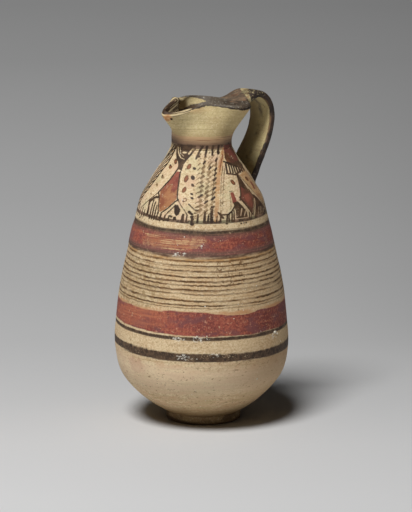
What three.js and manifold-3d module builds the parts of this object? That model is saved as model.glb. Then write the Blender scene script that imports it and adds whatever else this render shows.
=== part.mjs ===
// A wheel-thrown juglet of fired clay: a sack-shaped body on a low disc foot, a narrow neck that opens into a
// three-lobed pouring mouth, and a flat strap handle that is fixed to the mouth and the shoulder with pressed clay.
// Millimetres, +Z up. The origin is the middle of the foot's standing face. The handle is towards +X and the spout
// towards -X.
import * as THREE from "three";
import { mergeVertices } from "three/addons/utils/BufferGeometryUtils.js";
import Module from "manifold-3d";

const wasm = await Module();
wasm.setup();

// Driving dimensions
const foot = { standingRadius: 16.4, radius: 17.9, height: 4.2, edgeRound: 0.9 };
const body = {
  bellyRadius: 41.5,
  bellyHeight: 37,
  shoulderRadius: 29.1,
  shoulderDrop: 24, // from the neck's joint down to the place where the shoulder turns
  wall: 4.2,
  floor: 5.5,
};
const neck = { jointRadius: 14.6, jointHeight: 131, radius: 14.2, collarHeight: 5.5, wall: 3.4 };
const mouth = {
  height: 13, // from the top of the neck's collar to the edge of a side lobe
  spoutRadius: 23.6,
  cheekRadius: 13.8, // of the spout's two sides, between its tip and the pinches
  sideLobeRadius: 22.6,
  pinchRadius: 10.8,
  backRadius: 18.6,
  spoutDrop: 2.2,
  pinchRise: 2.4,
  farCheekRise: 3.2,
  nearCheekRise: 0.4,
  backRise: 0.9,
  lean: 1.5, // how much higher the lobe on the +Y side stands, and how much lower the other one
  lip: 2.7, // thickness of the wall at the lip
};
const handle = {
  topWidth: 17,
  waistWidth: 15.4,
  rootWidth: 17,
  thickness: 3.7,
  reach: 38.2, // from the axis to the strap's middle where it stands out furthest
  reachDrop: 5.5, // from the edge of a side lobe down to where the strap stands out furthest
  rise: 5, // of the arch above the upper root
  lowerRootDrop: 20, // from the neck's joint down to where the strap's middle meets the shoulder
  rootDepth: 1, // how far below the lip's edge the strap's middle meets the mouth
};
const luting = { spread: 2.1, sideSpread: 1.3, upperRun: 3.4, lowerRun: 3.2 };
const clearance = 0.3;
const overrun = 6; // how far a cutting shape runs past what it cuts
const weld = 0.0001; // points nearer than this are one point

// Angles round the axis, in degrees from the handle
const sideLobeAngle = 60;
const farPinchAngle = 119;
const nearPinchAngle = 110;
const cheekAngle = 147;

// Fineness of the turned and swept surfaces
const turns = 52;
const bodySteps = 34;
const cavitySteps = 20;
const mouthTurns = 60;
const mouthRows = 10;
const lipRows = 3;
const sectionPoints = 18;
const handleSteps = 32;
const wadTurns = 22;

// Shares, chosen by hand, of the way between two named places: [share of the radius, share of the height]
const lowerFlankShares = [[0.36, 0.171], [0.686, 0.39], [0.909, 0.634]];
const upperFlankShares = [[0.06, 0.186], [0.222, 0.414], [0.532, 0.671], [0.782, 0.857]];
const neckwardShares = [[0.224, 0.25], [0.51, 0.542], [0.804, 0.792]];
const archShares = [[0.4, 0.42]];
const crownShare = 0.6;
const outerTurnShares = [[0.45, 0.115], [0.83, 0.46]];
const fallShares = [[0.027, 0.152], [0.155, 0.348], [0.372, 0.545], [0.595, 0.727], [0.743, 0.864]];
const flareShares = [[0, 0.25], [0.6, 0.55]]; // the flare's two pulling points, from the collar to the lip
const waistShare = 0.45; // height in the collar where the neck is at its narrowest
const collarShare = 0.12; // of the mouth's rows, that lie below the waist
const nudgeShare = 0.004; // step for measuring a slope
const strapWaistShare = 0.6; // where along the strap it is at its narrowest
const strapEdgePower = 0.45; // 1 makes the strap's section an oval, and less makes it squarer
const strapHollowShare = 0.14; // hollow of the strap's inner face, of its thickness

const point = (radius, height) => new THREE.Vector2(radius, height);
const radians = THREE.MathUtils.degToRad;

// Points between two places, at shares of the way in radius and in height.
function between(from, to, shares) {
  return shares.map(([across, up]) =>
    point(THREE.MathUtils.lerp(from.x, to.x, across), THREE.MathUtils.lerp(from.y, to.y, up)));
}

// The body's outer face, from the foot to the neck.
const seat = point(foot.radius, foot.height);
const belly = point(body.bellyRadius, body.bellyHeight);
const shoulder = point(body.shoulderRadius, neck.jointHeight - body.shoulderDrop);
const joint = point(neck.jointRadius, neck.jointHeight);
const bodyOutline = new THREE.SplineCurve([
  seat, ...between(seat, belly, lowerFlankShares),
  belly, ...between(belly, shoulder, upperFlankShares),
  shoulder, ...between(shoulder, joint, neckwardShares), joint,
]);

// An outline moved along its normals, by a distance that may change along it. Plus is outwards.
function offsetOutline(curve, samples, distanceAt) {
  return Array.from({ length: samples + 1 }, (_, i) => {
    const share = i / samples;
    const at = curve.getPointAt(share);
    const along = curve.getTangentAt(share);
    const distance = distanceAt(share);
    return point(at.x + along.y * distance, at.y - along.x * distance);
  });
}

// The body's outer radius at a height, read off its outline.
function bodyRadiusAt(height) {
  const samples = 240;
  const points = curvePoints(bodyOutline, samples);
  const next = points.findIndex((p) => p.y >= height);
  const [low, high] = [points[Math.max(next - 1, 0)], points[Math.max(next, 1)]];
  return THREE.MathUtils.mapLinear(height, low.y, high.y, low.x, high.x);
}

function curvePoints(curve, samples) {
  return Array.from({ length: samples + 1 }, (_, i) => curve.getPointAt(i / samples));
}

// A solid of revolution from an outline that runs upwards outside and closes on the axis or on itself.
function turned(outline) {
  const geometry = new THREE.LatheGeometry(outline, turns);
  geometry.rotateX(Math.PI / 2); // LatheGeometry turns about Y
  return geometry;
}

function solidOf(geometry) {
  const bare = new THREE.BufferGeometry();
  bare.setAttribute("position", geometry.getAttribute("position"));
  if (geometry.index) bare.setIndex(geometry.index);
  const merged = mergeVertices(bare, weld);
  return new wasm.Manifold(new wasm.Mesh({
    numProp: 3,
    vertProperties: new Float32Array(merged.attributes.position.array),
    triVerts: new Uint32Array(merged.index.array),
  }));
}

function geometryOf(solid) {
  const mesh = solid.getMesh();
  const geometry = new THREE.BufferGeometry();
  geometry.setAttribute("position", new THREE.BufferAttribute(mesh.vertProperties, 3));
  geometry.setIndex(new THREE.BufferAttribute(mesh.triVerts, 1));
  geometry.computeVertexNormals();
  return geometry;
}

// The foot: a low disc, turned with a rounded standing edge.
function footGeometry() {
  const round = foot.edgeRound;
  const edge = new THREE.EllipseCurve(foot.standingRadius - round, round, round, round, -Math.PI / 2, 0);
  return turned([point(0, 0), ...edge.getPoints(3), seat, point(0, foot.height)]);
}

// The body: one thrown wall, closed below and open at the neck.
function bodyGeometry() {
  const outer = curvePoints(bodyOutline, bodySteps);
  const bore = point(neck.jointRadius - neck.wall, neck.jointHeight);
  const floorHeight = foot.height + body.floor;
  // the wall thins evenly from the body's to the neck's, and the cavity starts above the floor
  const wallAt = (share) => -THREE.MathUtils.lerp(body.wall, neck.wall, share ** 4);
  const inner = offsetOutline(bodyOutline, cavitySteps, wallAt)
    .filter((p) => p.y > floorHeight + body.wall / 2 && p.y < neck.jointHeight - neck.wall / 2);
  const floorRadius = inner[0].x - body.wall;
  return turned([
    point(0, foot.height), ...outer, bore, ...inner.reverse(), point(floorRadius, floorHeight), point(0, floorHeight),
  ]);
}

// The lip's plan, angle by angle: the spout, its cheek, a pinch, a side lobe, the back, and so on to the spout.
const farCheek = { radius: mouth.cheekRadius, rise: mouth.farCheekRise };
const nearCheek = { radius: mouth.cheekRadius, rise: mouth.nearCheekRise };
const sideLobe = { radius: mouth.sideLobeRadius, rise: 0 };
const pinch = { radius: mouth.pinchRadius, rise: mouth.pinchRise };
const spout = { radius: mouth.spoutRadius, rise: -mouth.spoutDrop };
const lipStations = [
  { angle: cheekAngle - 360, ...farCheek },
  { angle: -180, ...spout },
  { angle: -cheekAngle, ...nearCheek },
  { angle: -nearPinchAngle, ...pinch },
  { angle: -sideLobeAngle, ...sideLobe },
  { angle: 0, radius: mouth.backRadius, rise: mouth.backRise },
  { angle: sideLobeAngle, ...sideLobe },
  { angle: farPinchAngle, ...pinch },
  { angle: cheekAngle, ...farCheek },
  { angle: 180, ...spout },
  { angle: 360 - cheekAngle, ...nearCheek },
];

const mouthHeight = neck.jointHeight + neck.collarHeight + mouth.height; // of the lip, before its rises and lean
const lipPlan = new THREE.CubicInterpolant(
  lipStations.map((station) => station.angle), lipStations.flatMap((station) => [station.radius, station.rise]), 2);

// The outer edge of the lip at an angle, on a smooth curve through the stations.
function lipAt(angle) {
  const degrees = THREE.MathUtils.euclideanModulo(THREE.MathUtils.radToDeg(angle) + 180, 360) - 180;
  const [radius, rise] = lipPlan.evaluate(degrees);
  const sideways = radius * Math.sin(angle) / (mouth.sideLobeRadius * Math.sin(radians(sideLobeAngle)));
  return point(radius, mouthHeight + rise + mouth.lean * sideways);
}

// The outer face of neck and mouth in the plane of one angle: an upright collar, then the flare to the lip.
function mouthOutline(angle) {
  const lip = lipAt(angle);
  const waist = point(neck.radius, neck.jointHeight + neck.collarHeight * waistShare);
  const collar = point(neck.radius, neck.jointHeight + neck.collarHeight);
  const root = new THREE.QuadraticBezierCurve(joint, point(neck.radius, (joint.y + waist.y) / 2), waist);
  return { root, flare: new THREE.CubicBezierCurve(waist, ...between(collar, lip, flareShares), lip) };
}

function onMouth(angle, share) {
  const { root, flare } = mouthOutline(angle);
  const at = share < collarShare
    ? root.getPoint(share / collarShare)
    : flare.getPoint((share - collarShare) / (1 - collarShare));
  return new THREE.Vector3(at.x * Math.cos(angle), at.x * Math.sin(angle), at.y);
}

// The outward normal of the mouth's outer face.
function mouthNormal(angle, share) {
  const across = onMouth(angle + nudgeShare, share).sub(onMouth(angle - nudgeShare, share));
  const up = onMouth(angle, Math.min(share + nudgeShare, 1)).sub(onMouth(angle, Math.max(share - nudgeShare, 0)));
  return across.cross(up).normalize();
}

// Rings of points, each joined to the next, as one surface. Closed rings also join the last to the first; others
// start and end in a ring that has shrunk to a point.
function ringed(rings, closed) {
  const count = rings[0].length;
  const last = rings.length - 1;
  const index = [];
  for (let row = 0; row < (closed ? rings.length : last); row++) {
    const next = (row + 1) % rings.length;
    for (let i = 0; i < count; i++) {
      const j = (i + 1) % count;
      const [a, b, c, d] = [row * count + i, row * count + j, next * count + j, next * count + i];
      if (closed || row > 0) index.push(a, b, c);
      if (closed || row < last - 1) index.push(a, c, d);
    }
  }
  const geometry = new THREE.BufferGeometry();
  geometry.setAttribute("position", new THREE.Float32BufferAttribute(rings.flat().flatMap((p) => p.toArray()), 3));
  geometry.setIndex(index);
  return geometry;
}

const mouthAngles = Array.from({ length: mouthTurns }, (_, i) => (2 * Math.PI * i) / mouthTurns);
const mouthShares = Array.from({ length: mouthRows + 1 }, (_, i) => i / mouthRows);

// The mouth's outer face moved outwards by a distance, as one ring of points for each row.
function mouthRings(distanceAt) {
  return mouthShares.map((share) => mouthAngles.map((angle) =>
    onMouth(angle, share).addScaledVector(mouthNormal(angle, share), distanceAt(share))));
}

// Neck and mouth: one thrown wall, pinched into three lobes, with a rounded lip.
function mouthGeometry() {
  const outer = mouthRings(() => 0);
  const inner = mouthRings((share) => -THREE.MathUtils.lerp(neck.wall, mouth.lip, share));
  inner[0].forEach((p) => p.setZ(neck.jointHeight));
  const lip = Array.from({ length: lipRows }, (_, i) => {
    const turn = (Math.PI * (i + 1)) / (lipRows + 1);
    return outer[mouthRows].map((from, k) => {
      const top = from.clone().lerp(inner[mouthRows][k], (1 - Math.cos(turn)) / 2);
      return top.setZ(top.z + (Math.sin(turn) * mouth.lip) / 2);
    });
  });
  return ringed([...outer, ...lip, ...inner.reverse()], true);
}

// Neck and mouth filled in and grown by a clearance: the shape that cuts the handle to fit.
function mouthCutter(grown) {
  const rings = mouthRings(() => grown);
  const above = rings[mouthRows].map((p) => p.clone().setZ(p.z + overrun));
  const onAxis = (height) => mouthAngles.map(() => new THREE.Vector3(0, 0, height));
  const top = mouthHeight + 2 * overrun;
  return solidOf(ringed([onAxis(neck.jointHeight - overrun), ...rings, above, onAxis(top)], false));
}

// The body's outside, grown by a clearance: the shape that cuts the handle's lower end.
function bodyCutter(grown) {
  const outline = offsetOutline(bodyOutline, bodySteps, () => grown).filter((p) => p.y > body.bellyHeight);
  const low = point(0, outline[0].y);
  const high = point(0, outline[outline.length - 1].y);
  return solidOf(turned([low, ...outline, high]));
}

// The strap's line, in the plane of the handle, from inside the mouth's wall to inside the shoulder's.
const upperRoot = point(lipAt(0).x - mouth.lip, lipAt(0).y - handle.rootDepth);
const lowerRootHeight = neck.jointHeight - handle.lowerRootDrop;
const lowerRoot = point(bodyRadiusAt(lowerRootHeight) - body.wall, lowerRootHeight);
const crown = point(THREE.MathUtils.lerp(upperRoot.x, handle.reach, crownShare), upperRoot.y + handle.rise);
const outermost = point(handle.reach, mouthHeight - handle.reachDrop);
const handleLine = new THREE.CatmullRomCurve3([
  upperRoot, ...between(upperRoot, crown, archShares),
  crown, ...between(crown, outermost, outerTurnShares),
  outermost, ...between(outermost, lowerRoot, fallShares), lowerRoot,
].map((p) => new THREE.Vector3(p.x, 0, p.y)), false, "centripetal");

// The strap's width, widest at its roots.
function strapWidth(share) {
  const narrowing = THREE.MathUtils.smoothstep(share, 0, strapWaistShare);
  const widening = THREE.MathUtils.smoothstep(share, strapWaistShare, 1);
  return share < strapWaistShare
    ? THREE.MathUtils.lerp(handle.topWidth, handle.waistWidth, narrowing)
    : THREE.MathUtils.lerp(handle.waistWidth, handle.rootWidth, widening);
}

// One point of the strap's section: a flat oval with soft long edges and a slightly hollow inner face.
function strapSection(turn, width, thickness) {
  const side = Math.cos(turn);
  const across = Math.sign(side) * Math.abs(side) ** strapEdgePower * (width / 2);
  const lift = Math.sin(turn);
  const outward = Math.sign(lift) * Math.abs(lift) ** strapEdgePower * (thickness / 2);
  const hollow = lift < 0 ? strapHollowShare * thickness * lift * lift : 0;
  return { across, outward: outward + hollow };
}

function strapRings(grown) {
  return Array.from({ length: handleSteps + 1 }, (_, step) => {
    const share = step / handleSteps;
    const at = handleLine.getPointAt(share);
    const along = handleLine.getTangentAt(share);
    const outward = new THREE.Vector3(-along.z, 0, along.x);
    return Array.from({ length: sectionPoints }, (_, i) => {
      const turn = (2 * Math.PI * i) / sectionPoints;
      const section = strapSection(turn, strapWidth(share) + 2 * grown, handle.thickness + 2 * grown);
      return at.clone().addScaledVector(outward, section.outward).setY(section.across);
    });
  });
}

// A closed strap: its rings, with a middle point at each end.
function strapGeometry(grown = 0) {
  const rings = strapRings(grown);
  const middle = (ring) => {
    const sum = ring.reduce((total, p) => total.add(p), new THREE.Vector3()).divideScalar(ring.length);
    return ring.map(() => sum.clone());
  };
  return ringed([middle(rings[0]), ...rings, middle(rings[handleSteps])], false);
}

function handleGeometry() {
  return geometryOf(solidOf(strapGeometry()).subtract(mouthCutter(clearance)).subtract(bodyCutter(clearance)));
}

// Pressed clay round one end of the strap: a flattened wad, hollowed for the strap and fitted to the wall behind it.
function lutingGeometry(share, width, run, cutter) {
  const at = handleLine.getPointAt(share);
  const along = handleLine.getTangentAt(share);
  const wad = new THREE.SphereGeometry(1, wadTurns, wadTurns / 2);
  wad.scale(run, width / 2 + luting.sideSpread, handle.thickness / 2 + luting.spread);
  wad.rotateY(Math.atan2(-along.z, along.x));
  wad.translate(at.x, 0, at.z);
  return geometryOf(largest(solidOf(wad).subtract(solidOf(strapGeometry(clearance))).subtract(cutter)));
}

// The largest of a solid's separate bodies.
function largest(solid) {
  return solid.decompose().reduce((best, body) => (body.volume() > best.volume() ? body : best));
}

// Where the strap leaves a wall: the share of its line at which it comes out of a cutter's radius.
function shareWhere(outside) {
  const samples = 400;
  for (let i = 0; i <= samples; i++) {
    if (outside(handleLine.getPointAt(i / samples))) return i / samples;
  }
  return 0;
}

function upperLutingGeometry() {
  const share = shareWhere((p) => p.x > lipAt(0).x + clearance);
  return lutingGeometry(share, handle.topWidth, luting.upperRun, mouthCutter(clearance));
}

function lowerLutingGeometry() {
  const share = shareWhere((p) => p.z < neck.jointHeight && p.x < bodyRadiusAt(p.z) + clearance);
  return lutingGeometry(share, handle.rootWidth, luting.lowerRun, bodyCutter(clearance));
}

// Fired clay with a pale slip, and the darker painted strap
const paleClay = new THREE.MeshStandardMaterial({ color: 0xcbb48c, roughness: 0.85, metalness: 0 });
const footClay = new THREE.MeshStandardMaterial({ color: 0xa98a5e, roughness: 0.9, metalness: 0 });
const darkPaint = new THREE.MeshStandardMaterial({ color: 0x3f332b, roughness: 0.7, metalness: 0 });

function named(name, geometry, material) {
  const mesh = new THREE.Mesh(geometry, material);
  mesh.name = name;
  return mesh;
}

const juglet = new THREE.Group();
juglet.add(
  named("foot_disc", footGeometry(), footClay),
  named("body_wall", bodyGeometry(), paleClay),
  named("neck_and_mouth", mouthGeometry(), paleClay),
  named("strap_handle", handleGeometry(), darkPaint),
  named("upper_luting", upperLutingGeometry(), darkPaint),
  named("lower_luting", lowerLutingGeometry(), darkPaint),
);

export default juglet;
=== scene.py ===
"""A wheel-thrown clay juglet: pale slip, painted bands, and a frieze of hanging buds, petals and cords."""

import math

import bmesh
import bpy
import numpy as np
from mathutils import Matrix, Vector, noise
from mathutils.bvhtree import BVHTree


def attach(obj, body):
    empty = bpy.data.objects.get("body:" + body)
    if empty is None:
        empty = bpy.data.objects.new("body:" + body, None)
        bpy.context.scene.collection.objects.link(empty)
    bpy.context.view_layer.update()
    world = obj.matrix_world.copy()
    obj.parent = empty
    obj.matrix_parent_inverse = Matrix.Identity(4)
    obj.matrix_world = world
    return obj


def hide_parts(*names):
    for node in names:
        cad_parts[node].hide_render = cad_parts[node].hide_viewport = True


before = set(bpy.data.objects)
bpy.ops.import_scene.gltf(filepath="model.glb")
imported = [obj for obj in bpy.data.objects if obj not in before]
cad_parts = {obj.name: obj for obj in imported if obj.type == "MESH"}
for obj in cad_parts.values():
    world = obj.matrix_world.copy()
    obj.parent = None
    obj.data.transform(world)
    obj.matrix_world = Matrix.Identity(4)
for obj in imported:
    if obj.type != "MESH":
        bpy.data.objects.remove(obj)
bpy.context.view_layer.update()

MM = 0.001
TURN = 2 * math.pi

# The pot's sizes, in millimetres
FOOT_STANDING, FOOT_RADIUS, FOOT_HEIGHT, FOOT_EDGE = 16.4, 17.9, 4.2, 0.9
FOOT_SHIFT = (0.65, -0.55)  # the foot was set down a little off the axis
BELLY_RADIUS, BELLY_HEIGHT = 41.5, 37.0
SHOULDER_RADIUS, SHOULDER_HEIGHT = 29.1, 107.0
BODY_WALL, BODY_FLOOR = 4.2, 5.5
JOINT_RADIUS, JOINT_HEIGHT = 14.6, 131.0
NECK_RADIUS, NECK_WALL, COLLAR_HEIGHT = 14.2, 3.4, 5.5
MOUTH_HEIGHT, LIP = 13.0, 2.7
SPOUT_RADIUS, CHEEK_RADIUS, LOBE_RADIUS, PINCH_RADIUS, BACK_RADIUS = 23.6, 13.8, 22.6, 10.8, 18.6
SPOUT_DROP, PINCH_RISE, FAR_CHEEK_RISE, NEAR_CHEEK_RISE, BACK_RISE = 2.2, 2.4, 3.2, 0.4, 0.9
MOUTH_LEAN = 1.5
STRAP_TOP, STRAP_WAIST, STRAP_ROOT, STRAP_THICKNESS = 17.0, 15.4, 17.0, 3.7
STRAP_REACH, STRAP_REACH_HEIGHT, STRAP_RISE = 38.2, 144.0, 5.0
STRAP_LOWER_HEIGHT, STRAP_ROOT_DEPTH = 111.0, 1.0

NECK_BREADTH = 20.0  # half the mouth's width, about

# Angles round the axis, in degrees from the handle
LOBE_ANGLE, FAR_PINCH, NEAR_PINCH, CHEEK_ANGLE = 60, 119, 110, 147

# The view: degrees round from the front, degrees up, distance and aiming height in millimetres
VIEW_ROUND, VIEW_UP, VIEW_DISTANCE, VIEW_HEIGHT, VIEW_SHIFT = -40.0, 10.34, 1140.0, 78.5, 2.1
VIEW_LENS = 168.3

# Where the painter's front is: degrees round the axis from the handle to the middle of the front
FRONT_ANGLE = -130.0
TILT, TILT_ANGLE = 1.7, 17.0  # how far the bands lean, in millimetres, and towards which side of the front
FRIEZE_BASE, FRIEZE_TOP = 95.5, 138.0  # heights between which the frieze is laid
SLIPPED_LINE, SLIPPED_REACH = 73.0, 4.0  # the height of the line that runs aslant, and how far it strays

# The light: degrees right of the camera and up, power and breadth in degrees; the room as it lights and as it is seen
LIGHT_TURN, LIGHT_RISE, LIGHT_POWER, LIGHT_BREADTH = -29.0, 61.0, 3.2, 22.0
ROOM_LIGHT, ROOM_SEEN = 0.02, 0.3

MOUTH_TOP = JOINT_HEIGHT + COLLAR_HEIGHT + MOUTH_HEIGHT


def between(start, end, shares):
    """Points between two places, at shares of the way in radius and in height."""
    return [(start[0] + (end[0] - start[0]) * across, start[1] + (end[1] - start[1]) * up) for across, up in shares]


SEAT = (FOOT_RADIUS, FOOT_HEIGHT)
BELLY = (BELLY_RADIUS, BELLY_HEIGHT)
SHOULDER = (SHOULDER_RADIUS, SHOULDER_HEIGHT)
JOINT = (JOINT_RADIUS, JOINT_HEIGHT)
BODY_POINTS = [
    SEAT, *between(SEAT, BELLY, [(0.36, 0.171), (0.686, 0.39), (0.909, 0.634)]),
    BELLY, *between(BELLY, SHOULDER, [(0.06, 0.186), (0.222, 0.414), (0.532, 0.671), (0.782, 0.857)]),
    SHOULDER, *between(SHOULDER, JOINT, [(0.224, 0.25), (0.51, 0.542), (0.804, 0.792)]), JOINT,
]


def cubic(t, start, leave, end, arrive):
    """A curve from start to end, which leaves and arrives with these slopes, at t from 0 to 1."""
    return ((2 * t**3 - 3 * t**2 + 1) * start + (t**3 - 2 * t**2 + t) * leave
            + (3 * t**2 - 2 * t**3) * end + (t**3 - t**2) * arrive)


def smooth_line(points, power, samples):
    """A Catmull-Rom line through points; power 0 spaces its knots evenly, and 0.5 by the root of their distance."""
    points = np.array(points, float)
    before, after = 2 * points[0] - points[1], 2 * points[-1] - points[-2]
    if power == 0:
        before, after = points[0], points[-1]
    knots = np.vstack([before, points, after])
    line = []
    for k in range(1, len(knots) - 2):
        p0, p1, p2, p3 = knots[k - 1:k + 3]
        gaps = [max(np.linalg.norm(b - a), 1e-9) ** power for a, b in ((p0, p1), (p1, p2), (p2, p3))]
        leave = ((p1 - p0) / gaps[0] - (p2 - p0) / (gaps[0] + gaps[1]) + (p2 - p1) / gaps[1]) * gaps[1]
        arrive = ((p2 - p1) / gaps[1] - (p3 - p1) / (gaps[1] + gaps[2]) + (p3 - p2) / gaps[2]) * gaps[1]
        line.append(cubic(np.linspace(0, 1, samples, endpoint=False)[:, None], p1, leave, p2, arrive))
    return np.vstack([*line, knots[-2][None]])


def lengths_along(line):
    return np.concatenate([[0], np.cumsum(np.linalg.norm(np.diff(line, axis=0), axis=1))])


def evenly(line, places=None, count=None):
    """Points of a line at lengths along it, or at an even count of them."""
    lengths = lengths_along(line)
    if places is None:
        places = np.linspace(0, lengths[-1], count)
    return np.stack([np.interp(places, lengths, line[:, k]) for k in range(line.shape[1])], axis=1)


def read_table(table, at, column=1):
    """A column of a table, read at places in its first column."""
    table = np.array(table)
    return np.interp(at, table[:, 0], table[:, column])


BODY_LINE = smooth_line(BODY_POINTS, 0, 60)


def body_radius(height):
    return np.interp(height, BODY_LINE[:, 1], BODY_LINE[:, 0])


# The lip's plan: degrees from the handle, radius and rise, from the spout round to the spout
PLAN = np.array([
    (CHEEK_ANGLE - 360, CHEEK_RADIUS, FAR_CHEEK_RISE),
    (-180, SPOUT_RADIUS, -SPOUT_DROP),
    (-CHEEK_ANGLE, CHEEK_RADIUS, NEAR_CHEEK_RISE),
    (-NEAR_PINCH, PINCH_RADIUS, PINCH_RISE),
    (-LOBE_ANGLE, LOBE_RADIUS, 0),
    (0, BACK_RADIUS, BACK_RISE),
    (LOBE_ANGLE, LOBE_RADIUS, 0),
    (FAR_PINCH, PINCH_RADIUS, PINCH_RISE),
    (CHEEK_ANGLE, CHEEK_RADIUS, FAR_CHEEK_RISE),
    (180, SPOUT_RADIUS, -SPOUT_DROP),
    (360 - CHEEK_ANGLE, CHEEK_RADIUS, NEAR_CHEEK_RISE),
])


def lip_at(angle):
    """Radius and height of the lip's outer edge, at angles in radians."""
    degrees = np.degrees(angle + math.pi) % 360 - 180
    at = np.clip(np.searchsorted(PLAN[:, 0], degrees, side="right"), 2, len(PLAN) - 2)
    gaps = np.diff(PLAN[:, 0])
    slopes = np.diff(PLAN[:, 1:], axis=0) / gaps[:, None]
    bends = (slopes[:-1] + slopes[1:]) / 2
    wide = gaps[at - 1][..., None]
    t = (degrees - PLAN[at - 1, 0])[..., None] / wide
    value = cubic(t, PLAN[at - 1, 1:], wide * bends[at - 2], PLAN[at, 1:], wide * bends[at - 1])
    radius, rise = value[..., 0], value[..., 1]
    sideways = radius * np.sin(angle) / (LOBE_RADIUS * math.sin(math.radians(LOBE_ANGLE)))
    return radius, MOUTH_TOP + rise + MOUTH_LEAN * sideways


ROOT_SHARE, WAIST_SHARE = 0.12, 0.45  # the neck's straight root as a share of the way up, and of the collar


def mouth_outer(angle, share):
    """Points of the outer face of neck and mouth, at angles and shares of the way up to the lip."""
    lip_radius, lip_height = lip_at(angle)
    waist = JOINT_HEIGHT + COLLAR_HEIGHT * WAIST_SHARE
    collar = JOINT_HEIGHT + COLLAR_HEIGHT
    t = np.clip(share / ROOT_SHARE, 0, 1)
    radius = (1 - t) ** 2 * JOINT_RADIUS + 2 * t * (1 - t) * NECK_RADIUS + t**2 * NECK_RADIUS
    height = (1 - t) ** 2 * JOINT_HEIGHT + t * (1 - t) * (JOINT_HEIGHT + waist) + t**2 * waist
    u = np.clip((share - ROOT_SHARE) / (1 - ROOT_SHARE), 0, 1)
    weights = [(1 - u) ** 3, 3 * u * (1 - u) ** 2, 3 * u**2 * (1 - u), u**3]
    radii = [NECK_RADIUS, NECK_RADIUS, NECK_RADIUS + 0.6 * (lip_radius - NECK_RADIUS), lip_radius]
    heights = [waist, collar + 0.25 * (lip_height - collar), collar + 0.55 * (lip_height - collar), lip_height]
    upper = share > ROOT_SHARE
    radius = np.where(upper, sum(w * r for w, r in zip(weights, radii)), radius)
    height = np.where(upper, sum(w * h for w, h in zip(weights, heights)), height)
    return np.stack([radius * np.cos(angle), radius * np.sin(angle), height], axis=-1)


def mouth_face(angle, share):
    """The outer face's points and their outward directions, in a row for each share and a column for each angle."""
    angle, share = np.broadcast_arrays(angle[None], share[:, None])
    nudge = 0.004
    across = mouth_outer(angle + nudge, share) - mouth_outer(angle - nudge, share)
    up = mouth_outer(angle, np.minimum(share + nudge, 1)) - mouth_outer(angle, np.maximum(share - nudge, 0))
    return mouth_outer(angle, share), unit(np.cross(across, up))


def unit(vectors):
    return vectors / np.maximum(np.linalg.norm(vectors, axis=-1, keepdims=True), 1e-12)


def ease(value, low, high):
    t = np.clip((value - low) / (high - low), 0, 1)
    return t * t * (3 - 2 * t)


# Meshes

def as_object(name, bm):
    """A bmesh as a new smooth-shaded object at the origin."""
    bmesh.ops.remove_doubles(bm, verts=bm.verts, dist=1e-7)
    bmesh.ops.recalc_face_normals(bm, faces=bm.faces)
    mesh = bpy.data.meshes.new(name)
    bm.to_mesh(mesh)
    bm.free()
    mesh.shade_smooth()
    made = bpy.data.objects.new(name, mesh)
    bpy.context.scene.collection.objects.link(made)
    return made


def coordinates(piece):
    """The piece's points in millimetres."""
    flat = np.empty(len(piece.data.vertices) * 3, np.float32)
    piece.data.vertices.foreach_get("co", flat)
    return flat.reshape(-1, 3).astype(float) / MM


def move_points(piece, points):
    piece.data.vertices.foreach_set("co", (points * MM).astype(np.float32).ravel())
    piece.data.update()


def set_field(piece, name, values):
    """Stores one number for each point, which a material reads by its name."""
    field = piece.data.attributes.new(name, "FLOAT", "POINT")
    field.data.foreach_set("value", values.astype(np.float32))


def noise_at(points, size, seed=0.0):
    """Smooth noise between about -1 and 1 at points, with lumps of a size in millimetres."""
    return np.array([noise.noise(Vector(p) / size + Vector((seed, seed, seed))) for p in points])


def turned(name, outline, steps):
    """A solid of revolution from an outline of (radius, height), made by a spin."""
    bm = bmesh.new()
    verts = [bm.verts.new((r * MM, 0, z * MM)) for r, z in outline]
    edges = [bm.edges.new(pair) for pair in zip(verts, verts[1:])]
    bmesh.ops.spin(bm, geom=verts + edges, cent=(0, 0, 0), axis=(0, 0, 1), angle=TURN, steps=steps, use_merge=True)
    return as_object(name, bm)


def looped(name, rows, steps, shape):
    """A closed band: a ring of rows spun into a torus, then laid on the points shape[row, step] in millimetres."""
    bm = bmesh.new()
    away = 3  # the torus's radius, for a ring of radius 1
    ring = bmesh.ops.create_circle(bm, segments=rows, radius=1)["verts"]
    for vert in ring:
        vert.co = Vector((away + vert.co.x, 0, vert.co.y))
    bmesh.ops.spin(bm, geom=ring + list(bm.edges), cent=(0, 0, 0), axis=(0, 0, 1), angle=TURN, steps=steps,
                   use_merge=True)
    for vert in bm.verts:
        x, y, z = vert.co
        row = round(math.atan2(z, math.hypot(x, y) - away) / TURN * rows) % rows
        step = round(math.atan2(y, x) / TURN * steps) % steps
        vert.co = Vector(shape[row, step]) * MM
    return as_object(name, bm)


def swept(name, rings):
    """A capped tube whose rings are rings[step, point], in millimetres."""
    steps, points = rings.shape[:2]
    bm = bmesh.new()
    bmesh.ops.create_cone(bm, cap_ends=True, cap_tris=False, segments=points, radius1=1, radius2=1, depth=1)
    upright = [e for e in bm.edges if abs(e.verts[0].co.z - e.verts[1].co.z) > 0.5]
    bmesh.ops.subdivide_edges(bm, edges=upright, cuts=steps - 2)
    for vert in bm.verts:
        x, y, z = vert.co
        step = round((z + 0.5) * (steps - 1))
        point = round(math.atan2(y, x) / TURN * points) % points
        vert.co = Vector(rings[step, point]) * MM
    return as_object(name, bm)


# The body

COARSE, FINE, FINE_FROM = 2.0, 0.34, 97.0  # the gaps between the body's rows, and the height where they get fine


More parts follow.
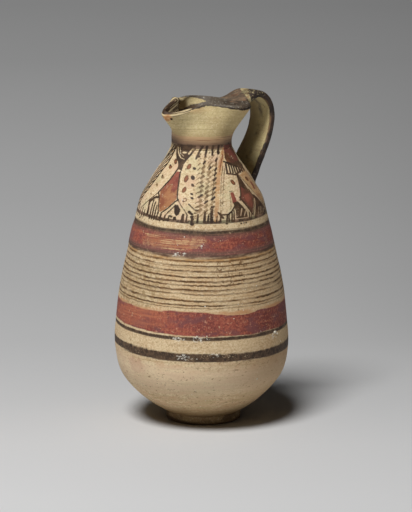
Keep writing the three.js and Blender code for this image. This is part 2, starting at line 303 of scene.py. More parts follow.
def body_outline():
    """The body's outer face from the floor to the joint, its top, and its inner face back to the axis."""
    lengths = lengths_along(BODY_LINE)
    painted = np.interp(FINE_FROM, BODY_LINE[:, 1], lengths)
    places = np.concatenate([np.arange(0, painted, COARSE), np.arange(painted, lengths[-1] - 0.2, FINE), lengths[-1:]])
    outer = evenly(BODY_LINE, places)
    inner_line = evenly(BODY_LINE, count=20)
    along = unit(np.gradient(inner_line, axis=0))
    share = np.linspace(0, 1, len(inner_line))[:, None]
    wall = BODY_WALL + (NECK_WALL - BODY_WALL) * share**4
    inner = inner_line + wall * np.stack([-along[:, 1], along[:, 0]], axis=1)
    floor = FOOT_HEIGHT + BODY_FLOOR
    inner = inner[(inner[:, 1] > floor + BODY_WALL / 2) & (inner[:, 1] < JOINT_HEIGHT - NECK_WALL / 2)]
    bore = (JOINT_RADIUS - NECK_WALL, JOINT_HEIGHT)
    return [(0, FOOT_HEIGHT), *outer, bore, *inner[::-1], (inner[0, 0] - BODY_WALL, floor), (0, floor)]


def front_angle(points):
    """Degrees round from the middle of the front, plus to its right."""
    around = np.degrees(np.arctan2(points[:, 1], points[:, 0])) - FRONT_ANGLE
    return (around + 180) % 360 - 180


def on_front(angle, height):
    """The point of the body's outer face at degrees from the front's middle and a height."""
    around = math.radians(angle + FRONT_ANGLE)
    radius = float(body_radius(height))
    return (radius * math.cos(around), radius * math.sin(around), height)


# The thrown wall's unevenness in millimetres: depth, length and seed of its swells and of its turning ridges, and the
# depth of the ledge that was left at the left of the upper red band, with the heights where it rises and fades
SWELLS, RIDGES = ((0.28, 34.0, 3.1), (0.1, 11.0, 9.7)), (0.1, 5.4, 1.3)
LEDGE, LEDGE_RISE, LEDGE_FADE = 0.35, (84.0, 86.5), (93.0, 97.0)


def shape_body(piece):
    """Gives the thrown wall its slight unevenness and turning ridges, and returns which points are outside."""
    points = coordinates(piece)
    radius = np.hypot(points[:, 0], points[:, 1])
    outer = (radius > body_radius(points[:, 2]) - 0.5) & (points[:, 2] > FOOT_HEIGHT + 0.01)
    out = points[outer]
    up = out[:, 2]
    lift = sum(depth * noise_at(out, size, seed) for depth, size, seed in SWELLS)
    depth, size, seed = RIDGES
    lift += depth * noise_at(out * (0, 0, 1), size, seed)
    lift *= (1 - ease(up, 126.0, 130.8)) * ease(up, FOOT_HEIGHT, 9.0)  # none at the joint and the foot
    lift += LEDGE * ease(up, *LEDGE_RISE) * (1 - ease(up, *LEDGE_FADE)) * ease(-front_angle(out), 20, 80)
    points[outer, :2] += unit(out[:, :2]) * lift[:, None]
    move_points(piece, points)
    return outer


# The frieze's painting, in degrees from the front's middle and millimetres of height

COLOURS = ("ink", "red", "ochre", "amber", "maroon", "line", "rust")
TAKEN_OUT = {"bare": ("ink", "red", "ochre", "maroon"), "unrusted": ("rust",)}  # shapes that leave paints out
SLANT = 1.2  # length on the sloping shoulder for each millimetre of height
FAR = 9.0  # a distance at which nothing shows


class Coat:
    """Distances in millimetres from each point to the painted shapes of each colour; minus is inside one."""

    def __init__(self, angle, height, radius):
        self.angle, self.height = angle, height
        self.per_degree = radius * math.pi / 180
        self.fields = {colour: np.full(len(angle), FAR) for colour in COLOURS}

    def reach(self, start, end):
        """Distance to the line between two places, and how far along it the nearest point is."""
        ax, ay = (start[0] - self.angle) * self.per_degree, (start[1] - self.height) * SLANT
        bx, by = (end[0] - self.angle) * self.per_degree, (end[1] - self.height) * SLANT
        dx, dy = bx - ax, by - ay
        t = np.clip(-(ax * dx + ay * dy) / (dx * dx + dy * dy + 1e-9), 0, 1)
        return np.hypot(ax + t * dx, ay + t * dy), t

    def stroke(self, places, width, end_width=None):
        gap = np.full(len(self.angle), FAR)
        widths = np.linspace(width, width if end_width is None else end_width, len(places))
        for k, (start, end) in enumerate(zip(places, places[1:])):
            reach, t = self.reach(start, end)
            gap = np.minimum(gap, reach - (widths[k] + (widths[k + 1] - widths[k]) * t) / 2)
        return gap

    def patch(self, places):
        gap = self.stroke([*places, places[0]], 0)
        inside = np.zeros(len(self.angle), bool)
        for (a0, z0), (a1, z1) in zip(places, [*places[1:], places[0]]):
            crosses = (z0 > self.height) != (z1 > self.height)
            rise = (z1 - z0) if z1 != z0 else 1e-9
            inside ^= crosses & (self.angle < (a1 - a0) * (self.height - z0) / rise + a0)
        return np.where(inside, -gap, gap)

    def spot(self, place, size, lean=0.0):
        up = (self.height - place[1]) * SLANT
        across = (self.angle - place[0] - lean * up / size[1]) * self.per_degree
        return (np.hypot(across / (size[0] / 2), up / (size[1] / 2)) - 1) * min(size) / 2

    def paint(self, colour, shape, *sizes):
        """Lays one shape: a list of places alone is a patch, and a list with its first and last width a stroke. One
        place is the middle of an oval, with its width and height in millimetres and the degrees its top leans by."""
        if isinstance(shape, tuple):
            gap = self.spot(shape, *sizes)
        else:
            gap = self.stroke(shape, *sizes) if sizes else self.patch(shape)
        for paint in TAKEN_OUT.get(colour, ()):
            self.fields[paint] = np.maximum(self.fields[paint], -gap)
        if colour in self.fields:
            self.fields[colour] = np.minimum(self.fields[colour], gap)


def along_line(places, spacing, start=0.0):
    """Places at an even spacing in height along a line of places that runs downwards."""
    heights = [z for _, z in places][::-1]
    angles = [a for a, _ in places][::-1]
    z = places[0][1] - start
    while z > places[-1][1]:
        yield float(np.interp(z, heights, angles)), z
        z -= spacing


def paint_spine(coat):
    """The leaf spine at the front's left edge, with its slanting strokes."""
    spine = [(-57, 132.5), (-58, 129), (-60, 124), (-63.5, 119.5), (-67, 116), (-71, 112.5), (-75, 108.5), (-79, 104)]
    coat.paint("ink", spine, 1.15, 0.8)
    for a, z in along_line(spine, 2.6, 0.4):
        coat.paint("ink", [(a, z), (a - 6, z - 1.4), (a - 13, z - 4.0), (a - 26, z - 8.5)], 1.05, 0.95)
        coat.paint("ochre", (a - 5, z - 2.3), (2.6, 0.7), -1)
    for a, z in along_line([(-62, 133), (-74, 128)], 2.4):
        coat.paint("ink", [(a, z), (a - 9, z - 2.2), (a - 20, z - 6)], 1.0, 0.9)


CORDS = [
    [(2, 133), (-4, 130.6), (-8.5, 127.6)],
    [(11, 133), (6.5, 128.6), (3.4, 125), (1.4, 121.5), (0, 117.5), (-1, 113), (-1.4, 108), (-1.6, 104)],
    [(22, 133), (18.5, 129), (13.5, 125.4), (10.8, 122.4), (8, 118.6), (6, 114.6), (4.8, 110.6), (4, 107), (3.4, 103)],
    [(34.5, 133), (30, 129.6), (24, 126.8), (20.5, 124), (17.2, 120.4), (15, 117), (13.2, 113.4), (11.4, 110),
     (10, 106.6), (8.8, 103)],
]


def paint_cords(coat):
    """The knotted cords down the middle, and the slanting strokes between them."""
    for number, cord in enumerate(CORDS):
        coat.paint("ink", [place for place in cord if place[1] > 127], 1.25, 0.9)
        coat.paint("line", cord, 0.32)
        for k, (a, z) in enumerate(along_line(cord, 2.05, 4.6 + 0.5 * number)):
            strong = (5 * k + 2 * number) % 7 == 0 or (number == 3 and k % 2 == 0)
            coat.paint("ink" if strong else "line", [(a - 1.6, z - 0.5), (a + 1.4, z + 0.55)],
                       0.8 + 0.3 * ((k * 3 + number) % 4) / 3, 1.05)
    coat.paint("ink", (31.4, 130.2), (1.8, 2.6), 2)
    for k in range(15):
        z = 102.4 + 2.05 * k
        reach = float(np.interp(z, [102, 112, 120, 126, 132], [9.5, 12.5, 17, 23, 31]))
        for share in (0.12, 0.38, 0.62, 0.86):
            a = -7 + (reach + 7) * share
            coat.paint("line", [(a - 1.4, z - 0.4 + 1.6 * share), (a + 1.6, z + 0.5 + 1.6 * share)], 0.4, 0.6)
    for k in range(4):
        z = 101.6 + 1.2 * k
        coat.paint("line", [(-6, z), (-2.6, z + 0.3)], 0.55)


def paint_stripe(coat):
    """The ochre stripe right of the middle, with the thin ladder beside it."""
    middle = [(47, 132.4), (40, 129.6), (34, 127), (28, 124.4), (22.4, 121), (18.6, 117), (15.8, 112), (13.6, 106),
              (12.4, 101)]
    coat.paint("ochre", middle[1:], 2.3, 2.1)
    coat.paint("amber", [(44, 131.4), *middle[1:5]], 1.3, 0.4)
    coat.paint("rust", [(39, 128.9), (34.4, 127), (30, 125), (24, 121.8)], 0.6, 0.35)
    coat.paint("line", [(a - 4.6, z + 0.6) for a, z in middle[3:]], 0.55)
    coat.paint("line", [(a + 3.6, z - 0.5) for a, z in middle[3:]], 0.4)
    ladder = [(36, 124), (30, 121.2), (25.8, 117.6), (23, 113.4), (20.6, 109.5), (19, 106), (17.4, 103.6)]
    coat.paint("line", ladder, 0.4)
    for a, z in along_line(ladder, 1.7):
        coat.paint("line", [(a - 1.0, z - 0.2), (a + 1.6, z + 0.3)], 0.4)


def paint_comb(coat):
    """The comb of strokes under the dark red bud."""
    for a, width in ((35.8, 1.0), (41, 0.95), (45.4, 1.0), (49.6, 1.0), (54.4, 1.2), (60, 1.6), (66, 1.5), (72, 1.5)):
        coat.paint("ink", [(a + 2.4, 124.8), (a + 0.6, 122.8), (a - 1.4, 120.8)], width)


# The fringe on the frieze's base line: degrees, top and width of its strokes, and degrees and height of its drips
# with their sizes
FRINGE = [
    (-88, 105.5, 1.0), (-82, 104.8, 1.1), (-76, 105, 1.2), (-71, 103.4, 0.9), (-66, 104, 1.0), (-62, 103.2, 0.8),
    (-51.6, 108.4, 0.95), (-48.6, 107.6, 0.95), (-45.6, 106.2, 0.95), (-43, 103.6, 0.9), (-39, 102.6, 1.3),
    (-34.5, 102.2, 1.1), (-30.4, 102.4, 0.9), (-17, 103.2, 1.5), (-13.4, 103.2, 0.8), (-8.5, 102.6, 1.2),
    (-3.6, 103.4, 1.0), (2.4, 104.4, 1.2), (5.4, 103, 0.9), (8.6, 106.6, 1.5), (13, 102.6, 0.7), (16.6, 103, 0.9),
    (22.4, 103.2, 0.9), (24.4, 103.2, 0.8), (27.4, 104, 0.9), (29.6, 104.8, 0.8), (47, 103, 0.9), (49.4, 102, 0.7),
    (56, 102, 0.7), (82, 104.6, 1.1), (87, 105.4, 1.0),
]
DRIPS = [(-8, 99.2, 2.0, 2.0), (-41.5, 100, 1.6, 1.0), (22, 98.9, 1.5, 0.9), (36, 98.5, 1.0, 1.2),
         (39, 98.7, 0.9, 1.0), (41.5, 98.6, 1.0, 1.1), (-68, 99.1, 1.4, 0.9), (4, 99.5, 1.4, 0.8)]


def paint_fringe(coat):
    for a, top, width in FRINGE:
        coat.paint("ink", [(a + 0.8, top), (a, 100)], width * 0.8, width * 1.15)
    for a, z, width, height in DRIPS:
        coat.paint("ink", (a, z), (width, height))


# The frieze in the order it is laid: single shapes, and the functions for rows of them
FRIEZE = [
    paint_spine,

    # the leaning pale petal beside the spine, its edge line and its brown spots
    ("ink", [(-54, 132.4), (-48.5, 129.4), (-43, 127.2), (-37.5, 126), (-34.2, 124.4), (-34, 122.8), (-40, 117.8),
             (-45, 114.8), (-49.4, 112)], 0.95, 0.9),
    ("ink", [(-49, 112), (-53, 110.2), (-58, 108.2), (-65, 105.4), (-71, 103.4)], 0.7, 0.5),
    ("rust", (-43.4, 125.8), (2.1, 2.8), -2.2), ("rust", (-48.8, 123.2), (2.5, 1.9), -2.2),
    ("line", (-54, 118.5), (2.3, 1.8), -2.2), ("line", (-57.6, 114.9), (2.1, 1.5), -2.2),
    ("line", (-60, 110.6), (1.6, 0.8), -2.2),
    ("amber", (-43.2, 125.6), (1.0, 1.3), -2), ("amber", (-48, 123), (1.2, 0.7), -2),
    ("ink", (-45, 126.6), (1.1, 0.8), -1), ("ink", (-41.4, 125.2), (1.1, 0.8), -1),
    ("ink", (-51, 123.9), (1.1, 0.8), -1), ("ink", (-55.6, 119.1), (1.1, 0.8), -1),

    # the red leaf between the two front petals, worn to orange below, and the zigzag under it
    ("red", [(-33.5, 121.8), (-28.4, 121.6), (-26.4, 116.2), (-26.4, 113.6), (-24.6, 109.8), (-30, 106.9),
             (-36, 104.6), (-40.4, 103.6), (-42.6, 107.2), (-45, 110), (-47.5, 112.4), (-40, 117.4)]),
    ("ink", [(-28.4, 121.6), (-26.6, 116.6), (-25.4, 112.8), (-23.6, 109.8)], 0.8, 0.75),
    ("ink", [(-49.4, 112.1), (-45.2, 109.8), (-43, 106.6), (-41.4, 103)], 0.85, 0.7),
    ("ink", [(-22.6, 109.8), (-26, 108.6), (-31, 106), (-38.5, 103.1)], 0.8, 0.7),
    ("ink", [(-24.4, 107.4), (-28, 105.4), (-31.5, 103.6), (-34, 102)], 0.6, 0.6),
    ("ink", [(-25.6, 106.6), (-22.6, 107.6), (-19, 105.4), (-20.2, 103.2), (-22.4, 102.4), (-24.8, 103.8)]),
    ("ink", [(-25.6, 102), (-22.6, 102.2), (-22, 100.4), (-25.6, 100.2)]),
    ("ink", (-27.6, 102), (1.3, 1.5), -1),

    # the dark bud that hangs from the neck, with its reserved white curves and its stem
    ("ink", [(-53, 133.5), (-52, 131.8), (-47.5, 129.4), (-42.5, 127.4), (-37, 126.2), (-34.5, 125), (-33.4, 122.6),
             (-28.6, 122.4), (-28, 125.2), (-24, 127), (-18, 129.2), (-12, 131.7), (-9.5, 133.5)]),
    ("bare", [(-50.5, 132.3), (-46, 130.2), (-41, 128.8), (-35, 127.5), (-29, 127.2)], 0.62, 0.45),
    ("bare", [(-44.5, 132.2), (-41, 130.4), (-37.5, 129.3), (-31, 128.4)], 0.4, 0.2),
    ("bare", (-31.6, 130), (2.4, 1.0)),
    ("bare", [(-22.5, 129.6), (-19, 131), (-15.5, 132.2)], 0.95, 0.6),
    ("bare", [(-14.5, 131), (-12, 132.3)], 0.4),
    ("bare", (-31.2, 122.2), (0.9, 0.6)),

    # the pale petal left of the middle, with its ringed spots and its row of black diamonds
    ("ink", [(-11, 132), (-17, 129.6), (-24, 127), (-27.6, 125), (-27.8, 122)], 0.6, 0.45),
    ("ink", [(-23, 109.6), (-19, 107.2), (-15, 104.8), (-13, 103.4)], 0.5, 0.6),
    ("rust", (-18, 124.1), (2.2, 3.0), 1.2), ("amber", (-18, 124.1), (1.3, 1.9), 1),
    ("rust", (-18.4, 118.9), (2.2, 3.9), 1.2), ("amber", (-18.4, 118.9), (1.3, 2.8), 1),
    ("rust", (-18.6, 114), (2.1, 3.1), 1.2), ("amber", (-18.6, 114), (1.2, 2.0), 1),
    ("rust", (-16.4, 109.7), (2.1, 2.4), 1.2), ("unrusted", (-16.4, 109.7), (1.2, 1.3)),
    ("ink", (-5.6, 128.6), (2.1, 1.6), -1.2), ("ink", (-9.8, 123.4), (1.7, 1.5), -1.2),
    ("ink", (-10.3, 119.5), (2.0, 2.4), -1.2), ("ink", (-9.8, 116.2), (1.6, 1.8), -1.2),
    ("ink", (-10, 112.3), (1.5, 1.3), -1.2), ("ink", (-9.2, 110.6), (1.5, 1.3), -1.2),
    ("ink", [(-12, 108), (-9.8, 107), (-7, 105.8), (-3, 105.2)], 0.75, 0.5),
    ("ink", [(-11, 104.6), (-8.4, 103.4)], 1.4, 1.2),
    ("ink", [(-9, 102.4), (-7.4, 101.4)], 1.3),

    paint_cords, paint_stripe,

    # the dark red bud that hangs from the neck on the right
    ("maroon", [(48, 133), (44.5, 130.4), (41, 127.6), (41.5, 125.6), (52, 124), (75, 123.6), (80, 127), (80, 133)]),
    ("rust", [(43, 129.2), (41, 127.6), (41.5, 125.9), (49, 125), (54, 127.4), (50, 129.6)]),
    ("ochre", [(46, 131.6), (50, 129.8), (58, 129.4)], 0.5, 0.3),
    ("bare", [(41.5, 126.2), (45, 126.9), (50, 128.4), (53, 129)], 0.55, 0.25),
    ("bare", [(58, 131), (66, 131.4)], 0.3),
    ("ink", [(36, 125.9), (44, 125), (52, 124), (62, 123.2), (76, 123.6)], 0.9, 2.3),
    ("ink", [(33.6, 120.8), (39, 120.4), (46, 119.9), (55, 120.6), (64, 121.4), (77, 123)], 0.9, 1.1),
    paint_comb,

    # the dark and red diamond at the right, its pale lines and the last leaning petal
    ("maroon", [(48.4, 119.6), (51, 119.6), (54.4, 115.6), (58.4, 111), (59.4, 109.4), (55.4, 105.4), (51, 101.6),
                (46, 105.4), (40, 109), (43.4, 112), (46.8, 116)]),
    ("ink", [(48.2, 120), (51.4, 120), (54.8, 115.8), (57.8, 112.4), (52, 113), (46.6, 114.6), (46.8, 116.4)]),
    ("red", [(46, 110.4), (54.6, 111.4), (55.4, 108.8), (52.6, 104.6), (48, 106.2)]),
    ("ink", [(48.2, 119), (46.4, 115.4), (43.4, 111.6), (39.4, 108.8)], 0.7, 0.9),
    ("ink", [(40, 110), (43.4, 107.8), (48, 104.8), (52.4, 101.6)], 1.1, 0.8),
    ("ink", [(58.2, 112.6), (60.4, 109.6), (57, 105.6), (53, 101.8)], 0.9, 0.8),
    ("bare", [(37.4, 108.2), (42, 105.6), (51, 101.2)], 1.15, 0.95),
    ("ink", [(59.4, 110.4), (63, 110.2), (69, 107.4), (77, 104), (80, 101), (55, 101), (59, 105.4)]),
    ("bare", [(60.4, 108.4), (57.6, 105), (53.8, 101.3)], 0.9, 0.8),
    ("bare", [(64, 104.4), (61, 101.4)], 0.55, 0.45), ("bare", [(67.6, 104.4), (64.6, 101.4)], 0.55, 0.45),
    ("bare", [(71, 103.8), (68, 101.4)], 0.55, 0.45), ("bare", [(75, 103), (72, 101.4)], 0.55, 0.45),
    ("line", [(52, 119.6), (58, 116), (66, 110.8), (76, 105.4), (82, 102)], 0.7, 0.6),
    ("line", [(74, 122), (80, 117), (88, 109)], 0.8, 0.6),
    ("ochre", [(54, 119.4), (74, 121.6), (82, 112), (80, 105), (70, 109), (60, 114.6)]),
    ("rust", (65, 117.2), (2.3, 2.6), -2),
    ("red", [(69, 116), (73.6, 115), (74, 111.8), (70, 112.4)]),

    # the pale petal right of the middle, its spot, its red tongue and the dark lines that close it
    ("rust", (38, 116.8), (2.3, 2.9), -2.2), ("amber", (38, 116.8), (1.1, 1.5), -1.5),
    ("red", [(30.4, 112.6), (34.4, 112.6), (35.4, 107.8), (30.4, 107.8)]),
    ("ink", [(29.8, 112.9), (33.4, 113)], 0.5),
    ("ink", [(31, 108.2), (36, 108.6), (40.4, 106.4), (44.4, 103.6), (44.8, 101), (31.6, 101), (32.2, 104.2)]),
    ("bare", [(39, 105), (36.6, 102)], 0.65, 0.5), ("bare", [(43, 103.8), (40.6, 101.6)], 0.6, 0.45),
    ("ink", [(14.8, 104.2), (17.8, 103.1), (24, 103), (28, 104.4), (31.6, 106.4)], 0.95, 0.8),
    ("ink", [(15.2, 104), (19.4, 101.6)], 1.1),
    ("line", [(29.6, 112), (28.6, 108.6), (27.4, 105.4)], 0.35),

    # the strokes that stand on the frieze's base line, with the one broad foot among them
    ("ink", [(-58.6, 108), (-55.4, 108.8), (-50.4, 110.4), (-45.4, 110.4), (-46, 109.4), (-50.6, 109),
             (-54.6, 107.2), (-54, 101), (-57.8, 101), (-57, 104.6)]),
    paint_fringe,

    # the one fine line that runs aslant across its neighbours, at the left of the front
    ("line", [(-66, 75.4), (-56, 74.8), (-46, 73.6), (-36, 72.4), (-26, 71.6), (-12, 71.0)], 0.7, 0.3),
]


def lean_at(angle):
    """How far below their height at the front the bands lie, at degrees from the front, in millimetres."""
    return TILT * (np.cos(np.radians(angle - TILT_ANGLE)) - 1)


def lay_frieze(piece, near):
    """Lays the frieze on a piece: the front as painted, and the back half as the front seen in a mirror."""
    points = coordinates(piece)
    place = points[near]
    angle = front_angle(place)
    folded = np.where(angle > 90, 180 - angle, np.where(angle < -90, -180 - angle, angle))
    wander = 0.12 * noise_at(place, 4.0, 2.0)
    height = place[:, 2] + wander + lean_at(angle) - lean_at(folded)
    coat = Coat(folded + wander * 2, height, np.hypot(place[:, 0], place[:, 1]))
    for part in FRIEZE:
        if callable(part):
            part(coat)
        else:
            coat.paint(*part)
    for colour, field in coat.fields.items():
        values = np.full(len(points), FAR)
        values[near] = field
        set_field(piece, colour + "_gap", values)


# Shader nodes

def srgb(red, green, blue):
    """A colour of 0 to 255 screen values, made linear."""
    parts = [value / 255 for value in (red, green, blue)]
    return tuple(v / 12.92 if v <= 0.04045 else ((v + 0.055) / 1.055) ** 2.4 for v in parts) + (1.0,)


class Value:
    """A node's output that takes part in sums: each adds a math node, and | takes the greater of two."""

    def __init__(self, graph, socket):
        self.graph, self.socket = graph, socket

    def __add__(self, other):
        return self.graph.math("ADD", self, other)

    def __sub__(self, other):
        return self.graph.math("SUBTRACT", self, other)

    def __rsub__(self, other):
        return self.graph.math("SUBTRACT", other, self)

    def __mul__(self, other):
        return self.graph.math("MULTIPLY", self, other)

    def __truediv__(self, other):
        return self.graph.math("DIVIDE", self, other)

    def __rtruediv__(self, other):
        return self.graph.math("DIVIDE", other, self)

    def __or__(self, other):
        return self.graph.math("MAXIMUM", self, other)


class Graph:
    """Adds nodes to one tree. An input given as a Value is linked, and anything else is set on the socket."""

    def __init__(self, tree):
        self.tree = tree

    def put(self, socket, value):
        if isinstance(value, Value):
            self.tree.links.new(value.socket, socket)
        else:
            socket.default_value = value

    def node(self, kind, inputs=None, **settings):
        node = self.tree.nodes.new(kind)
        for name, value in settings.items():
            setattr(node, name, value)
        for key, value in (inputs or {}).items():
            self.put(node.inputs[key], value)
        return node

    def value(self, kind, output=0, inputs=None, **settings):
        """One output of a new node."""
        return Value(self, self.node(kind, inputs, **settings).outputs[output])

    def math(self, operation, first, second=0.0):
        return self.value("ShaderNodeMath", 0, {0: first, 1: second}, operation=operation)

    def vector(self, operation, first, second=(0, 0, 0)):
        output = "Value" if operation in ("LENGTH", "DOT_PRODUCT") else "Vector"
        return self.value("ShaderNodeVectorMath", output, {0: first, 1: second}, operation=operation)

    def combine(self, x, y, z):
        return self.value("ShaderNodeCombineXYZ", 0, {0: x, 1: y, 2: z})

    def separate(self, vector):
        return [Value(self, part) for part in self.node("ShaderNodeSeparateXYZ", {0: vector}).outputs]

    def ramp(self, value, low, high, first=0.0, last=1.0):
        """A smooth step from first at low to last at high."""
        inputs = {0: value, 1: low, 2: high, 3: first, 4: last}
        return self.value("ShaderNodeMapRange", 0, inputs, interpolation_type="SMOOTHSTEP")

    def mix(self, mask, below, above):
        """One colour over another; a colour that isn't a Value is three screen values."""
        below, above = (srgb(*colour) if isinstance(colour, tuple) else colour for colour in (below, above))
        return self.value("ShaderNodeMix", 2, {0: mask, 6: below, 7: above}, data_type="RGBA")

    def layers(self, colour, *paints):
        """A colour with paints laid over it in turn, each given as its mask and its colour."""
        for mask, paint in paints:
            colour = self.mix(mask, colour, paint)
        return colour

    def place(self, tall=1):
        """Where a point lies in metres, with its height multiplied."""
        here = self.value("ShaderNodeTexCoord", "Object")
        return here if tall == 1 else self.vector("MULTIPLY", here, (1, 1, tall))

    def noise(self, scale, detail=2, roughness=0.5, tall=1, at=None):
        inputs = {"Vector": at or self.place(tall), "Scale": scale, "Detail": detail, "Roughness": roughness}
        return self.value("ShaderNodeTexNoise", "Fac", inputs)

    def cells(self, scale):
        """The distance to the middle of the nearest cell, and that cell's colour."""
        node = self.node("ShaderNodeTexVoronoi", {"Vector": self.place(), "Scale": scale})
        return Value(self, node.outputs["Distance"]), Value(self, node.outputs["Color"])

    def field(self, name):
        return self.value("ShaderNodeAttribute", "Fac", attribute_name=name)


class Skin(Graph):
    """The graph of a material with one shader, and the colour that paints are laid on."""

    def __init__(self, name):
        self.material = bpy.data.materials.new(name)
        self.material.use_nodes = True
        super().__init__(self.material.node_tree)
        self.tree.nodes.clear()
        self.shader = self.node("ShaderNodeBsdfPrincipled")
        self.tree.links.new(self.shader.outputs[0], self.node("ShaderNodeOutputMaterial").inputs["Surface"])

    def tint(self, mask, paint):
        self.colour = self.mix(mask, self.colour, paint)

    def shade(self, **inputs):
        """Sets or links the shader's inputs, named with underscores for spaces."""
        for name, value in inputs.items():
            self.put(self.shader.inputs[name.replace("_", " ")], value)

    def finish(self, roughness, bumps, distance=0.0002):
        """Joins colour, roughness and the height of bumps to the shader, and returns the material."""
        normal = self.value("ShaderNodeBump", 0, {"Height": bumps, "Strength": 0.6, "Distance": distance})
        self.shade(Base_Color=self.colour, Roughness=roughness, Normal=normal, Specular_IOR_Level=0.35)
        return self.material


def group(name, *outputs, **inputs):
    """Makes a node group of a function of a graph and the group's inputs, which becomes a function that uses it."""
    def make(build):
        tree = bpy.data.node_groups.new(name, "ShaderNodeTree")
        for label, value in inputs.items():
            kind = "NodeSocketVector" if isinstance(value, tuple) else "NodeSocketFloat"
            tree.interface.new_socket(name=label, in_out="INPUT", socket_type=kind).default_value = value
        for label in outputs:
            tree.interface.new_socket(name=label, in_out="OUTPUT", socket_type="NodeSocketFloat")
        inner = Graph(tree)
        start, end = inner.node("NodeGroupInput").outputs, inner.node("NodeGroupOutput").inputs
        made = build(inner, *(Value(inner, start[label]) for label in inputs))
        for label, value in zip(outputs, made if len(outputs) > 1 else [made]):
            inner.put(end[label], value)

        def use(g, *values):
            node = g.node("ShaderNodeGroup", dict(zip(inputs, values)), node_tree=tree)
            results = [Value(g, node.outputs[label]) for label in outputs]
            return results if len(outputs) > 1 else results[0]
        return use
    return make


@group("leaning height", "Height", Waver=0.4)
def leaning_height(g, waver):
    """Height in millimetres above the foot, as the painter's bands run: slightly aslant, and wavering by hand."""
    x, y, z = g.separate(g.place())
    away = math.radians(FRONT_ANGLE + TILT_ANGLE)
    radius = g.math("SQRT", x * x + y * y)
    towards = (x * math.cos(away) + y * math.sin(away)) / (radius | 0.0001)
    around = g.combine(x / radius, y / radius, z * 70)
    return z * 1000 + ((towards - 1) * TILT + (g.noise(1.6, 3, at=around) - 0.5) * waver)


@group("painted band", "Mask", Height=0.0, Low=0.0, High=1.0, Edge=0.2)
def band(g, height, low, high, edge):
    """A mask that is 1 between two heights, with edges that fade over a distance."""
    return g.ramp(height, low - edge, low + edge) * g.ramp(height, high - edge, high + edge, 1, 0)


@group("turning lines", "Value", Spacing=1.0, Length=2.0)
def turning_lines(g, spacing, length):
    """Fine streaks round the axis, as a brush or finger leaves on the turning pot: 0 to 1."""
    x, y, z = g.separate(g.place())
    wide = 3 / length / (g.math("SQRT", x * x + y * y) | 0.0001)
    return g.noise(1, 2, 0.6, at=g.combine(x * wide, y * wide, z * 1000 / spacing))


@group("worn paint", "Mask", Mask=1.0, Wear=0.3, Size=1.0)
def worn(g, mask, wear, size):
    """Paint that has rubbed thin: a mask with its grain, chips and dry streaks taken out of it."""
    rub = g.noise(1300 / size, 3, 0.65, 1.5) * 0.5 + g.noise(170 / size, 3, 0.6, 1.5) * 0.5
    level = 0.72 - wear * 0.36
    return mask * g.ramp(rub, level - 0.05, level + 0.06, 1, 0)


@group("brushed edge", "Mask", Gap=9.0, Rough=0.3, Soft=0.12)
def brushed(g, gap, rough, soft):
    """The mask of a painted shape from its distance field, with a slightly ragged edge."""
    return g.ramp(gap + (g.noise(900) - 0.5) * rough, soft * -1, soft, 1, 0)


@group("clay grain", "Blotch", "Grain", "Pore", "Height")
def clay_grain(g):
    """The skin of slipped clay: soft blotches, fine grain, small pores, and a height for bumps."""
    grain = g.noise(1500, 3, 0.6)
    distance, _ = g.cells(260)
    width = g.ramp(g.noise(110, 1), 0.5, 0.72) * 0.21
    pore = g.ramp(distance - width, -0.1, 0.02, 1, 0) * g.ramp(width, 0.02, 0.08)
    return g.noise(75, 4, 0.6), grain, pore, grain * 0.25 + g.noise(330, 3, 0.55) * 0.75 - pore * 1.4


@group("lime specks", "Mask", Amount=0.3)
def lime_specks(g, amount):
    """Small pale specks of lime: 1 in a speck."""
    distance, colour = g.cells(420)
    crowd = amount * g.ramp(g.noise(60), 0.5, 0.64, 0.1, 4)
    pick, large, _ = g.separate(colour)
    away = distance + g.noise(1300) * 0.3 - g.ramp(large, 0, 1, 0.1, 0.26)
    return g.ramp(away, -0.02, 0.06, 1, 0) * g.ramp(pick, 1 - crowd, 1.01 - crowd)


@group("patch", "Mask", Centre=(0.0, 0.0, 0.0), Size=(0.01, 0.01, 0.01), Ragged=0.5)
def soft_patch(g, centre, size, ragged):
    """A soft patch round a place, with a ragged edge: 1 in its middle. Centre and size are in metres."""
    away = g.vector("DIVIDE", g.vector("SUBTRACT", g.place(), centre), size)
    return g.ramp(g.vector("LENGTH", away) + (g.noise(420, 4, 0.65) - 0.5) * ragged * 2, 0.7, 1.1, 1, 0)


def patch_on(g, angle, height, wide, tall, ragged):
    """A soft patch on the body, at degrees from the front's middle and a height; half its sizes in millimetres."""
    centre = tuple(c * MM for c in on_front(angle, height))
    return soft_patch(g, centre, (wide * MM, wide * MM, tall * MM), ragged)


def to_right(g, radius):
    """How far to the right of the front a place lies: -1 to 1 across a form of a radius."""
    turn = math.radians(FRONT_ANGLE + 90)
    return g.vector("DOT_PRODUCT", g.place(), (math.cos(turn), math.sin(turn), 0)) / (radius * MM)


# Colours that several paints share, in screen values; the others stand where they are laid
SLIP, SLIP_WARM, DARK, LIME = (230, 206, 164), (220, 190, 148), (66, 50, 38), (236, 230, 214)

# The frieze's paints: field, roughness and softness of the edge, two tones, wear and strength
MOTIFS = [
    ("ochre", 0.8, 0.35, (202, 154, 100), (184, 130, 80), 0.35, 0.85),
    ("amber", 0.7, 0.25, (184, 128, 82), (156, 94, 62), 0.4, 0.9),
    ("maroon", 0.5, 0.18, (120, 66, 54), (90, 58, 44), 0.25, 1.0),
    ("red", 0.5, 0.18, (154, 86, 68), (128, 66, 54), 0.3, 1.0),
    ("rust", 0.4, 0.18, (120, 78, 50), (92, 58, 38), 0.2, 1.0),
    ("line", 0.5, 0.24, (100, 76, 48), (142, 114, 78), 0.44, 1.0),
    ("ink", 0.45, 0.2, (58, 42, 30), (86, 64, 44), 0.2, 1.0),
]

